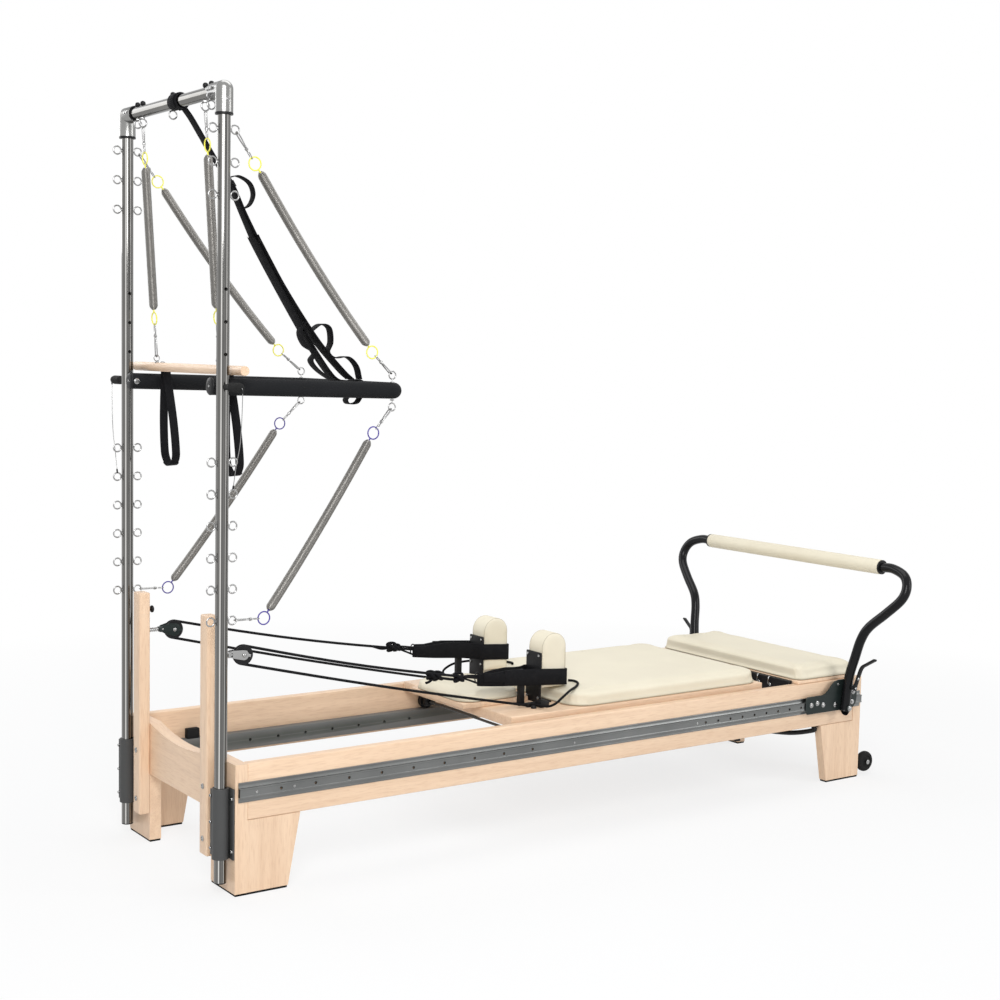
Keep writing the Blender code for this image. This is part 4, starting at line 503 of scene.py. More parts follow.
def outward(piece):
    """Merges doubles and turns all faces outward."""
    only(piece)
    bpy.ops.object.mode_set(mode='EDIT')
    bpy.ops.mesh.select_all(action='SELECT')
    bpy.ops.mesh.remove_doubles(threshold=1e-6)
    bpy.ops.mesh.normals_make_consistent(inside=False)
    bpy.ops.object.mode_set(mode='OBJECT')
    return piece


def use_modifier(piece, kind, **values):
    """Adds a modifier and applies it."""
    only(piece)
    modifier = piece.modifiers.new("shape", kind)
    for key, value in values.items():
        setattr(modifier, key, value)
    bpy.ops.object.modifier_apply(modifier=modifier.name)
    return piece


def turn_from_z(direction):
    """The turn that takes +Z to a direction and keeps +Y as near to itself as it can."""
    along = Vector(direction).normalized()
    hint = Vector((0, 1, 0))
    if abs(along.dot(hint)) > 0.95:
        hint = Vector((1, 0, 0))
    across = hint.cross(along).normalized()
    return Matrix((across, along.cross(across), along)).transposed().to_4x4()


def put(piece, place, direction=None):
    """Moves a piece made at the origin to its place, its +Z along a direction."""
    turn = turn_from_z(direction) if direction is not None else Matrix()
    piece.matrix_world = Matrix.Translation(place) @ turn @ piece.matrix_world
    return settle(piece)


def twin(piece, place, direction=None):
    """A copy with a mesh of its own, put in its place."""
    copy = piece.copy()
    copy.data = piece.data.copy()
    bpy.context.collection.objects.link(copy)
    return put(copy, place, direction)


def join(*pieces):
    """Several meshes as one object."""
    deselect()
    for piece in pieces:
        piece.select_set(True)
    bpy.context.view_layer.objects.active = pieces[0]
    if len(pieces) > 1:
        bpy.ops.object.join()
    return settle(pieces[0])


def remove(*pieces):
    """Deletes helpers."""
    deselect()
    for piece in pieces:
        piece.select_set(True)
    bpy.ops.object.delete()


def cut(piece, *tools):
    """Takes other shapes out of a piece."""
    for tool in tools:
        use_modifier(piece, 'BOOLEAN', operation='DIFFERENCE', solver='EXACT', object=tool)
    remove(*tools)
    return piece


def drill_holes(piece, radius, reach, places, direction, sides=20, angle=30):
    """Takes a hole out of a piece at each place, and shades the piece again."""
    drill = turned([(radius, reach[0]), (radius, reach[1])], sides=sides)
    drills = [twin(drill, place, direction) for place in places]
    remove(drill)
    cut(piece, join(*drills))
    close(piece, angle)


def weld(piece, *others):
    """Joins overlapping closed shapes into one skin."""
    for other in others:
        use_modifier(piece, 'BOOLEAN', operation='UNION', solver='EXACT', object=other)
    remove(*others)
    return piece


def soften(piece, width, segments=3, angle=40):
    """Rounds every edge that is sharper than an angle."""
    return use_modifier(piece, 'BEVEL', width=width, segments=segments, limit_method='ANGLE',
                        angle_limit=math.radians(angle), harden_normals=False)


def plain_box(low, high):
    """A box between two corners."""
    deselect()
    bpy.ops.mesh.primitive_cube_add(size=1, location=(low + high) / 2, scale=high - low)
    return settle(bpy.context.object)


def block(low, high, round_edges, segments=3):
    """A box between two corners with its edges bevelled."""
    piece = plain_box(low, high)
    pick(piece, 'EDGE', lambda middle, edge: True)
    bpy.ops.mesh.bevel(offset=round_edges, segments=segments, affect='EDGES', profile=0.5)
    return close(piece)


def turned(stations, place=(0, 0, 0), direction=(0, 0, 1), sides=32, angle=35):
    """A turned shape: a disc pushed out and resized at each (radius, height)."""
    deselect()
    radius, height = stations[0]
    bpy.ops.mesh.primitive_circle_add(vertices=sides, radius=radius, fill_type='NGON',
                                      location=(0, 0, height))
    piece = settle(bpy.context.object)
    pick(piece, 'FACE', lambda middle, face: True)
    for wide, high in stations[1:]:
        bpy.ops.mesh.extrude_region_move(
            TRANSFORM_OT_translate={"value": (0, 0, high - height)})
        bpy.ops.transform.resize(value=(wide / radius, wide / radius, 1),
                                 center_override=(0, 0, high))
        radius, height = wide, high
    close(piece, angle)
    outward(piece)
    return put(piece, place, direction)


def bored(stations, place, direction, sides=32, angle=35):
    """A turned shape with a hole along its axis, spun from its profile."""
    deselect()
    bpy.ops.mesh.primitive_circle_add(vertices=len(stations), radius=1, fill_type='NOTHING')
    piece = settle(bpy.context.object)
    mesh = edit(piece, 'VERT')
    mesh.verts.ensure_lookup_table()
    for corner, (radius, height) in zip(mesh.verts, stations):
        corner.co = (radius, 0, height)
    bmesh.update_edit_mesh(piece.data)
    bpy.ops.mesh.select_all(action='SELECT')
    bpy.ops.mesh.spin(steps=sides, angle=math.tau, center=(0, 0, 0), axis=(0, 0, 1))
    close(outward(piece), angle)
    return put(piece, place, direction)


LYING_ACROSS = {'Z': (0, 0, 0), 'Y': (math.pi / 2, 0, 0), 'X': (math.pi / 2, 0, math.pi / 2)}


def new_curve(name, outlines, flat, closed):
    """A flat or free curve of straight runs through the points of each outline."""
    deselect()
    curve = bpy.data.curves.new(name, 'CURVE')
    curve.dimensions = '2D' if flat else '3D'
    for outline in outlines:
        line = curve.splines.new('POLY')
        line.points.add(len(outline) - 1)
        for spot, point in zip(line.points, outline):
            spot.co = (*point, 0, 1) if flat else (*point, 1)
        line.use_cyclic_u = closed
    return curve


def curve_to_mesh(curve):
    """A piece whose mesh is made from a curve."""
    piece = bpy.data.objects.new(curve.name, curve)
    bpy.context.collection.objects.link(piece)
    only(piece)
    bpy.ops.object.convert(target='MESH')
    return piece


def shaped_plate(outlines, thick, round_edges, across='Y', place=(0, 0, 0)):
    """A flat outline, with any holes, as a plate with rounded rims."""
    curve = new_curve("outline", outlines, True, True)
    curve.fill_mode = 'BOTH'
    curve.extrude = thick / 2 - round_edges
    curve.bevel_depth = round_edges
    curve.bevel_resolution = 2
    curve.offset = -round_edges
    piece = curve_to_mesh(curve)
    piece.rotation_euler = LYING_ACROSS[across]
    piece.location = place
    return close(outward(settle(piece)))


def bend_route(points, radius, steps=8):
    """A line of straight runs whose corners are arcs."""
    spots = [Vector(point) for point in points]
    route = [spots[0]]
    for before, corner, after in zip(spots, spots[1:], spots[2:]):
        back, onward = (before - corner).normalized(), (after - corner).normalized()
        half = back.angle(onward) / 2
        centre = corner + (back + onward).normalized() * radius / math.sin(half)
        reach = radius / math.tan(half)
        start = (corner + back * reach - centre).normalized()
        end = (corner + onward * reach - centre).normalized()
        route += [centre + start.slerp(end, k / steps) * radius for k in range(steps + 1)]
    route.append(spots[-1])
    return route


def flow(points, steps, closed=False):
    """A smooth curve through chosen points."""
    spots = [Vector(point) for point in points]
    if closed:
        spots = [spots[-1]] + spots + spots[:2]
    else:
        spots = [2 * spots[0] - spots[1]] + spots + [2 * spots[-1] - spots[-2]]
    route = []
    for i in range(1, len(spots) - 2):
        a, b, c, d = spots[i - 1:i + 3]
        for k in range(steps):
            t = k / steps
            route.append(0.5 * (2 * b + (c - a) * t + (2 * a - 5 * b + 4 * c - d) * t ** 2
                                + (3 * b - a - 3 * c + d) * t ** 3))
    if not closed:
        route.append(spots[-2])
    return route


def scale_map(piece, along, around):
    """Gives a swept piece's map its real size in metres."""
    layer = piece.data.uv_layers.active
    if layer:
        for spot in layer.data:
            spot.uv = (spot.uv.x * along, spot.uv.y * around)


def round_angles(count):
    """Evenly spread angles round a whole turn."""
    return [math.tau * k / count for k in range(count)]


def length_of(route, closed=False):
    """The length of a line of points."""
    ends = route[1:] + [route[0]] if closed else route[1:]
    return sum((b - a).length for a, b in zip(route, ends))


def swept(route, radius, closed=False, resolution=4):
    """A round tube, rod, wire or rope along a line of points."""
    curve = new_curve("sweep", [route], False, closed)
    curve.bevel_depth = radius
    curve.bevel_resolution = resolution
    curve.use_fill_caps = not closed
    curve.twist_mode = 'MINIMUM'
    piece = curve_to_mesh(curve)
    scale_map(piece, length_of([Vector(p) for p in route], closed), math.tau * radius)
    return close(outward(piece), 50)


def band(route, wide, thick, across='Y', level=0.0, closed=False, rim=0.0006):
    """A strap: a line in a plane, drawn out across it and given its thickness."""
    curve = new_curve("band", [route], True, closed)
    curve.fill_mode = 'NONE'
    curve.extrude = wide / 2
    piece = curve_to_mesh(curve)
    scale_map(piece, length_of([Vector(p) for p in route], closed), wide)
    shifts = {'Z': (0, 0, level), 'Y': (0, level, 0), 'X': (level, 0, 0)}
    piece.rotation_euler = LYING_ACROSS[across]
    piece.location = shifts[across]
    settle(piece)
    use_modifier(piece, 'SOLIDIFY', thickness=thick, offset=0.0, use_even_offset=True)
    soften(piece, rim, 1, 60)
    return close(piece, 50)


def cover(piece, finish):
    """Gives a piece one finish all over."""
    piece.data.materials.clear()
    piece.data.materials.append(finish)
    return piece


def fit(piece, name, body, slot_name, finish, *nodes):
    """Names a finished piece, covers it, ties it to its body and hides its CAD nodes; slot_name is
    not used.
    """
    piece.name = name
    piece.data.name = name
    if finish:
        cover(piece, finish)
    if body:
        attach(piece, body)
    if nodes:
        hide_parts(*nodes)
    return piece


def fit_bright(pieces, name, body="frame"):
    """Joins bright metal fittings into one finished piece."""
    fit(join(*pieces), name, body, "stainless", BRIGHT)


def fit_black(pieces, name, body="frame"):
    """Joins black plastic parts into one finished piece."""
    fit(join(*pieces), name, body, "black_plastic", PLASTIC)


def across_bed(point, side):
    """A place given as (x, distance out, z), on one side."""
    return at(point[0], side * point[1], point[2])


# Sizes of the bed

RAIL_IN, RAIL_OUT = 0.320, 0.350
RAIL_LOW, RAIL_TOP = 0.200, 0.350
END_THICK = 0.035
BED_LENGTH = 2.350
LEG_IN = 0.205
PAD_UNDER = 0.006


def half_width(side, inner, outer):
    """Two distances out from the middle as Y values in rising order."""
    return sorted((side * inner, side * outer))


def side_block(side, x0, x1, inner, outer, z0, z1, round_edges, segments=3):
    """A box on one side of the bed."""
    y0, y1 = half_width(side, inner, outer)
    return block(at(x0, y0, z0), at(x1, y1, z1), round_edges, segments)


def hex_bolt(radius, high):
    """A hexagon head with a chamfered top, on a washer, made at the origin."""
    head = turned([(radius, 0.0), (radius, high * 0.8), (radius * 0.86, high)], sides=6, angle=20)
    soften(head, radius * 0.06, 2)
    ring = turned([(radius * 1.25, -0.0008), (radius * 1.35, -0.0004), (radius * 1.35, 0.0005),
                   (radius * 1.25, 0.0008)], sides=24)
    return join(head, ring)


def socket_bolt(radius, high):
    """A round head with a rounded rim and a hexagon socket, made at the origin."""
    head = turned([(radius, -0.0002), (radius, high * 0.55), (radius * 0.92, high * 0.85),
                   (radius * 0.78, high)], sides=24)
    pick(head, 'FACE', lambda middle, face: middle.z > high * 0.97)
    bpy.ops.mesh.inset(thickness=radius * 0.34)
    bpy.ops.mesh.extrude_region_move(TRANSFORM_OT_translate={"value": (0, 0, -high * 0.5)})
    return close(head, 30)


# Bed

def build_bed():
    """Rails, and the two ends with their legs."""
    for side, name in SIDES:
        rail = side_block(side, END_THICK + 0.0003, BED_LENGTH - END_THICK - 0.0003, RAIL_IN,
                          RAIL_OUT, RAIL_LOW, RAIL_TOP, 0.004)
        fit(rail, f"rail_{name}", "frame", "maple", MAPLE_ALONG, f"side_rail_{name}")
    build_end("head_end_wood", 0, 1, 0.024, "head_end")
    build_end("foot_end_wood", BED_LENGTH, -1, 0.0, "foot_end")
    pads = []
    for start, way in ((0.0, 1), (BED_LENGTH, -1)):
        for side in (-1, 1):
            for x0, x1, inner in ((0.001, 0.153, RAIL_IN + 0.001), (0.001, 0.034, LEG_IN + 0.001)):
                a, b = sorted((start + way * x0, start + way * x1))
                pads.append(side_block(side, a, b, inner, RAIL_OUT - 0.001, 0.0, PAD_UNDER,
                                       0.001, 1))
    fit(join(*pads), "rubber_feet", "frame", "wheel_rubber", RUBBER)
    stub = turned([(0.0105, 0.0), (0.011, 0.0006), (0.011, 0.0075), (0.0105, 0.0082)],
                  at(1.790, -0.335, 0.1920), sides=28)
    fit(stub, "rail_stub", "frame", "black_plastic", PLASTIC)


def build_end(name, start, way, dip, node):
    """A board across the bed, with a hollow in its top edge, glued to two legs."""
    reach = 0.205
    outline = [(-RAIL_OUT, PAD_UNDER), (-LEG_IN, PAD_UNDER), (-LEG_IN, RAIL_LOW),
               (LEG_IN, RAIL_LOW), (LEG_IN, PAD_UNDER), (RAIL_OUT, PAD_UNDER),
               (RAIL_OUT, RAIL_TOP)]
    if dip:
        radius = (reach ** 2 + dip ** 2) / (2 * dip)
        middle = RAIL_TOP - dip + radius
        steps = 28
        for k in range(steps + 1):
            y = reach - 2 * reach * k / steps
            outline.append((y, middle - math.sqrt(radius ** 2 - y ** 2)))
    outline.append((-RAIL_OUT, RAIL_TOP))
    board = shaped_plate([outline], END_THICK, 0.0, 'X', at(start + way * END_THICK / 2, 0, 0))
    panels = []
    for side in (-1, 1):
        run = [(0.5 * END_THICK, PAD_UNDER + 0.0003), (0.155, PAD_UNDER + 0.0003),
               (0.190, RAIL_LOW - 0.0003), (0.5 * END_THICK, RAIL_LOW - 0.0003)]
        run = [(HEAD + start + way * u, v) for u, v in run]
        panels.append(shaped_plate([run], 0.0297, 0.0, 'Y', (0, side * 0.33485, 0)))
    weld(board, *panels)
    soften(board, 0.004, 3, 45)
    close(board, 30)
    cover(board, MAPLE_ACROSS)
    board.data.materials.append(MAPLE_UPRIGHT)
    for face in board.data.polygons:
        if abs(face.center.y) > LEG_IN and (abs(face.normal.y) > 0.6 or face.center.z < RAIL_LOW):
            face.material_index = 1
    fit(board, name, "frame", "maple", None, node)


TRACK_Z = 0.276
TRACK_HOLES = [0.127 + 0.1024 * k for k in range(9)] + [1.626 + 0.0531 * k for k in range(9)]


def build_tracks():
    """The aluminium tracks outside and the steel ones inside, with their holes."""
    for side, name in SIDES:
        outline = [(0.0003, 0.2495), (0.0028, 0.2495), (0.0034, 0.2515), (0.0028, 0.2535),
                   (0.0028, 0.2585), (0.0050, 0.2630), (0.0130, 0.2630), (0.0130, 0.2668),
                   (0.0118, 0.2678), (0.0118, 0.2842), (0.0130, 0.2852), (0.0130, 0.2890),
                   (0.0050, 0.2890), (0.0028, 0.2935), (0.0028, 0.2985), (0.0034, 0.3005),
                   (0.0028, 0.3025), (0.0003, 0.3025), (0.0003, 0.2860), (0.0090, 0.2860),
                   (0.0090, 0.2660), (0.0003, 0.2660)]
        outline = [(side * (RAIL_OUT + u), v) for u, v in outline]
        track = shaped_plate([outline], BED_LENGTH - 0.016, 0.0, 'X', at(BED_LENGTH / 2, 0, 0))
        soften(track, 0.0004, 1, 30)
        drill_holes(track, 0.0040, (-0.02, 0.02),
                    [at(x, side * 0.360, TRACK_Z) for x in TRACK_HOLES], (0, 1, 0))
        fit(track, f"aluminium_track_{name}", "frame", "track_aluminium", ALUMINIUM,
            f"outer_track_{name}")
        screws = []
        for x in (0.055, 0.165, 1.100, 1.590, 2.295):
            screw = socket_bolt(0.0036, 0.0016)
            screws.append(put(screw, at(x, side * 0.3618, TRACK_Z), (0, side, 0)))
        plug = block(at(0.0075, side * 0.356 - 0.0050, 0.2645),
                     at(0.0115, side * 0.356 + 0.0050, 0.2875), 0.0006, 1)
        fit(plug, f"track_end_plug_{name}", "frame", "black_plastic", PLASTIC)
        fit_bright(screws, f"track_screws_{name}")

        bar = side_block(side, 0.10, 2.30, 0.2897, 0.3197, 0.214, 0.264, 0.0015, 2)
        drill_holes(bar, 0.0045, (-0.004, 0.02),
                    [at(0.17 + 0.095 * k, side * 0.2897, 0.239) for k in range(9)], (0, side, 0))
        stops = []
        for start in (0.156, 1.8743):
            body = side_block(side, start, start + 0.040, 0.2947, 0.3147, 0.2637, 0.294, 0.003)
            stops.append(body)
        fit(join(*stops), f"carriage_stops_{name}", "frame", "black_plastic", RUBBER)
        fit(bar, f"steel_track_{name}", "frame", "grey_powder", TRACK_COAT, f"inner_track_{name}")


def build_bow():
    """The bow-shaped tube that hangs below the platform, with its sockets."""
    end_y, top, turn = 0.3283, 0.1997, 0.021
    half = [(2.150, -end_y, top - 0.008), (2.150, -end_y + turn * 0.35, top - turn),
            (2.150, -end_y * 0.6, 0.146)]
    other = [(x, -y, z) for x, y, z in reversed(half)]
    path = flow([*half, (2.150, 0.0, 0.128), *other], 8)
    path = [Vector((2.150, -end_y, top)), *path, Vector((2.150, end_y, top))]
    tube = swept([at(*p) for p in path], 0.008, resolution=5)
    sockets = [turned([(0.0135, 0.0), (0.014, 0.0008), (0.014, 0.0038), (0.0105, 0.0048)],
                      at(2.150, y, 0.1998), (0, 0, -1), sides=28) for y in (-end_y, end_y)]
    fit(join(tube, *sockets), "bow", "frame", "grey_powder", PLASTIC, "bow_tube")


# Tower

TUBE_X, TUBE_Y, TUBE_R = -0.024, 0.312, 0.0165
PIVOT_Z = 1.325
HOLES_Z = (1.325, 1.407, 1.489, 1.571)
EYES_Z = (1.970, 1.888, 1.806) + tuple(0.723 + 0.082 * k for k in range(6))
BAR_EYES_Y = (-0.238, -0.202, 0.0, 0.202, 0.238)
CROSSBAR_Z = 2.067


def upright_painted_reflections():
    """Polished tube with painted reflections: dark and bright streaks along it, set by the angle
    round it.
    """
    finish = Finish("upright_painted_reflections", 0.1, 1.0)
    tree = finish.tree
    part = add_node(tree, "ShaderNodeSeparateXYZ", [(0, finish.place)])
    across = math_node(tree, 'SUBTRACT', part.outputs[0], HEAD + TUBE_X)
    wrapped = add_node(tree, "ShaderNodeMath", [(0, part.outputs[1]), (1, 2 * TUBE_Y), (2, 0.0)],
                       operation='WRAP').outputs[0]
    along = math_node(tree, 'SUBTRACT', wrapped, TUBE_Y)
    angle = math_node(tree, 'ARCTAN2', along, across)
    third = math_node(tree, 'FRACT', math_node(tree, 'ADD', math_node(
        tree, 'DIVIDE', angle, math.tau / 3), 3.0), 0.0)
    # Painted reflections: dark and bright streaks in the colour, standing in for the studio
    # mirrored in the polished tube.
    levels = ((0.0, 0.11), (0.15, 0.19), (0.25, 0.10), (0.308, 0.62), (0.35, 0.035), (0.45, 0.13),
              (0.583, 0.26), (0.708, 0.16), (0.875, 0.20), (0.915, 0.92), (0.955, 0.66),
              (1.0, 0.11))
    streaks = finish.ramp(third, [(place, (v, v * 0.985, v * 0.95)) for place, v in levels])
    marks = finish.effect(SMUDGE_EFFECT, Vector=finish.place, Patches=7.0, Lines=(60, 60, 1.5))
    shade = finish.ramp(marks.outputs["Patch"], [(0.3, (0.9, 0.9, 0.9)), (0.7, (1.0, 1.0, 1.0))])
    finish.link("Base Color", finish.blend(1.0, streaks, shade, 'MULTIPLY'))
    finish.link("Roughness", finish.span(marks.outputs["Line"], 0.07, 0.13))
    return finish.material


UPRIGHT_PAINTED_REFLECTIONS = upright_painted_reflections()


def screw_eye(ring=0.0110, reach=0.0140, wire=0.0021):
    """A screw-eye on its nut, made at the origin with its ring across Y."""
    hoop = [Vector((ring * math.sin(a), 0, reach - ring * math.cos(a)))
            for a in (math.tau * (k + 0.35) / 20 for k in range(20))]
    stem = [Vector((0, 0, -0.003)), Vector((0, 0, reach - ring - 0.0006)), hoop[0]]
    wire_piece = swept(stem + hoop[1:] + [hoop[0] * 0.98], wire, resolution=2)
    nut = turned([(0.0058, -0.0010), (0.0058, 0.0020), (0.0044, 0.0028)], sides=6, angle=20)
    return join(wire_piece, nut)


def build_uprights():
    """Tubes with their eyes, the sleeves that hold them, the posts and the top."""
    eye = screw_eye()
    for side, name in SIDES:
        y = side * TUBE_Y
        wall = []
        for z in reversed(HOLES_Z):
            wall += [z + 0.012, z - 0.012]
        profile = [(0.0147, 0.035), (0.0159, 0.035), (TUBE_R, 0.0358)]
        profile += [(TUBE_R, z) for z in reversed(wall)]
        profile += [(TUBE_R, 2.008), (0.0147, 2.008), (0.0147, 1.0)]
        tube = bored(profile, at(TUBE_X, y, 0), (0, 0, 1), sides=48)
        drill_holes(tube, 0.0046, (-0.03, 0.03), [at(TUBE_X, y, z) for z in HOLES_Z], (0, 1, 0),
                    angle=40)
        plug = turned([(0.0157, 0.0), (0.0162, 0.0015), (0.0162, 0.004), (0.0140, 0.0045),
                       (0.0140, 0.03)], at(TUBE_X, y, 0.0325), sides=40)
        fit(plug, f"upright_foot_{name}", "frame", "black_plastic", PLASTIC)
        fit(tube, f"upright_tube_{name}", "frame", "stainless", UPRIGHT_PAINTED_REFLECTIONS, f"upright_{name}")
        eyes = [twin(eye, at(TUBE_X + out * TUBE_R, y, z), (out, 0, 0))
                for out in (-1, 1) for z in EYES_Z]
        fit_bright(eyes, f"upright_eyes_{name}")
        build_sleeve(side, name)
        build_post(side, name)
        build_elbow(side, name)
    half = 0.2545
    bar = bored([(0.0147, -half), (TUBE_R, -half), (TUBE_R, half), (0.0147, half)],
                at(TUBE_X, 0, CROSSBAR_Z), (0, 1, 0), sides=48)
    fit(bar, "top_bar", "frame", "stainless", STAINLESS, "crossbar")
    eyes = [twin(eye, at(TUBE_X, y, CROSSBAR_Z - TUBE_R), (0, 0, -1)) for y in BAR_EYES_Y]
    fit_bright(eyes, "top_bar_eyes")
    cap = turned([(0.0050, -0.002), (0.0058, 0.0012), (0.0074, 0.0030), (0.0076, 0.0060),
                  (0.0068, 0.0092), (0.0048, 0.0118), (0.0024, 0.0128), (0.0003, 0.0130)],
                 sides=28, angle=60)
    caps = [twin(cap, at(TUBE_X, y, CROSSBAR_Z + TUBE_R)) for y in BAR_EYES_Y]
    fit_black(caps, "top_bar_caps")
    remove(eye, cap)


def build_sleeve(side, name):
    """The grey clamp round the foot of an upright, with its flange and bolts."""
    y = side * TUBE_Y
    ring = bored([(0.0168, 0.098), (0.0215, 0.098), (0.022, 0.0985), (0.022, 0.2855),
                  (0.0215, 0.286), (0.0168, 0.286)], at(TUBE_X, y, 0), (0, 0, 1), sides=48)
    flange = block(at(-0.0045, y - 0.036, 0.098), at(-0.0003, y - 0.0005, 0.286), 0.001, 2)
    lug = block(at(TUBE_X - 0.0150, y + 0.0195, 0.104), at(TUBE_X - 0.0020, y + 0.0300, 0.280),
                0.0012, 2)
    weld(ring, flange, lug)
    close(ring, 30)
    fit(ring, f"clamp_{name}", "frame", "grey_powder", GREY_COAT, f"sleeve_{name}")
    bolts = [put(hex_bolt(0.0050, 0.0036), at(-0.0050, y - 0.0285, z), (-1, 0, 0))
             for z in (0.260, 0.120)]
    bolts += [put(socket_bolt(0.0045, 0.0040), at(TUBE_X - 0.0150, y + 0.0252, z), (-1, 0, 0))
              for z in (0.262, 0.192, 0.122)]
    fit_bright(bolts, f"clamp_bolts_{name}")


def build_post(side, name):
    """A wooden post on the head board, with its bolts."""
    post = side_block(side, -0.033, -0.0003, 0.202, 0.247, 0.085, 0.727, 0.0045, 4)
    fit(post, f"pulley_post_{name}", "frame", "maple", MAPLE_UPRIGHT, f"tower_post_{name}")
    bolts = [put(socket_bolt(0.0075, 0.0030), at(-0.033, side * 0.2245, z), (-1, 0, 0))
             for z in (0.271, 0.130)]
    fit_bright(bolts, f"post_bolts_{name}")


def build_elbow(side, name):
    """The cast elbow: a domed barrel with a branch, its bolts and its black collars."""
    y = side * TUBE_Y
    dome = [(0.0225 * math.cos(a), 0.0580 + 0.0225 * math.sin(a))
            for a in (math.radians(88.5) * k / 10 for k in range(11))]
    barrel = turned([(0.0219, 0.0), (0.0225, 0.0007), *dome], at(TUBE_X, y, 2.0090), sides=48,
                    angle=60)
    branch = turned([(0.0222, 0.0), (0.0222, 0.0575), (0.0216, 0.0590)], at(TUBE_X, y, CROSSBAR_Z),
                    (0, -side, 0), sides=48)
    weld(barrel, branch)
    soften(barrel, 0.0012, 2, 50)
    close(barrel, 35)
    fit(barrel, f"cast_elbow_{name}", "frame", "stainless", CAST, f"elbow_{name}")
    collars = [bored([(0.0167, 0.0), (0.0226, 0.0), (0.0231, 0.0006), (0.0231, 0.0044),
                      (0.0226, 0.0050), (0.0167, 0.0050)], at(TUBE_X, y, 2.0040), (0, 0, 1)),
               bored([(0.0167, 0.0), (0.0206, 0.0), (0.0210, 0.0004), (0.0206, 0.0014),
                      (0.0167, 0.0014)], at(TUBE_X, y - side * 0.0590, CROSSBAR_Z), (0, -side, 0))]
    fit_black(collars, f"elbow_collars_{name}")
    spots = ((0.034, 0.003), (0.048, 0.003)) if side > 0 else ((0.030, 0.004), (0.041, 0.004),
                                                               (0.052, 0.004), (0.047, -0.012))
    bolts = [put(hex_bolt(0.0046, 0.0036), at(TUBE_X - 0.0218, y - side * out, CROSSBAR_Z + up),
                 (-1, 0, 0)) for out, up in spots]
    bolts.append(put(hex_bolt(0.0048, 0.0036), at(TUBE_X, y + side * 0.0222, 2.040), (0, side, 0)))
    fit_bright(bolts, f"elbow_bolts_{name}")


# Springs of the tower

RING_R, RING_WIRE = 0.0170, 0.0018


def coil_route(start, end, radius, turns, sag, points=12, taper=4):
    """A helix that narrows over its last turns and hangs a little."""
    start, end = Vector(start), Vector(end)
    turn = turn_from_z(end - start).to_3x3()
    route = []
    count = turns * points
    for k in range(count + 1):
        share = k / count
        near_end = min(k, count - k) / points
        size = radius * (0.42 + 0.58 * math.sin(min(1.0, near_end / taper) * math.pi / 2))
        angle = math.tau * k / points
        centre = start.lerp(end, share) - Vector((0, 0, sag * 4 * share * (1 - share)))
        route.append(centre + turn @ Vector((size * math.cos(angle), size * math.sin(angle), 0)))
    return route


def colour_ring(centre, toward, edge_on=False):
    """A coloured ring with a short neck toward its spring, across Y or across X."""
    centre, way = Vector(centre), Vector(toward).normalized()
    flat = way if edge_on else Vector((way.x, 0, way.z)).normalized()
    side = Vector((0, 1, 0)) if edge_on else Vector((-flat.z, 0, flat.x))
    route = []
    for k in range(28):
        angle = math.tau * k / 28
        route.append(centre + RING_R * (math.cos(angle) * flat + math.sin(angle) * side))
    neck = [centre + way * (RING_R - 0.0005), centre + way * (RING_R + 0.0120)]
    return join(swept(route, RING_WIRE, closed=True, resolution=3),
                swept(neck, 0.0022, resolution=2))


def snap_hook(eye, ring, eye_r=0.0108):
    """A snap hook with its gate and swivel, from an eye to a coloured ring."""
    eye, ring = Vector(eye), Vector(ring)
    way = (ring - eye).normalized()
    first = eye + way * (eye_r - 0.0045)
    length = (ring - way * RING_R - first).length + 0.0030
    body = length * 0.60
    half = 0.0066
    loop = [Vector((0, half * math.sin(a), half - half * math.cos(a)))
            for a in (-math.pi / 2 + math.pi * k / 8 for k in range(9))]
    loop += [Vector((0, half * 0.92, body * 0.55)), Vector((0, half * 0.5, body - 0.003)),
             Vector((0, 0, body)), Vector((0, -half * 0.5, body - 0.003)),
             Vector((0, -half * 0.92, body * 0.55))]
    hook = swept(flow(loop, 3, closed=True), 0.0019, closed=True, resolution=2)
    gate = swept([Vector((0, half * 0.25, body - 0.004)), Vector((0, half * 0.85, body * 0.45)),
                  Vector((0, half * 0.80, half * 0.9))], 0.0012, resolution=2)
    swivel = turned([(0.0030, 0.0), (0.0046, 0.0012), (0.0046, 0.0055), (0.0034, 0.0068),
                     (0.0034, 0.0085), (0.0022, 0.0095)], (0, 0, body - 0.001), sides=16)
    tail = length - body - 0.005
    eyelet = [Vector((0, 0.0048 * math.sin(a), tail / 2 - tail / 2 * math.cos(a)))
              for a in round_angles(16)]
    loop_end = swept([p + Vector((0, 0, body + 0.005)) for p in eyelet], 0.0015, closed=True,
                     resolution=2)
    return put(join(hook, gate, swivel, loop_end), first, way)


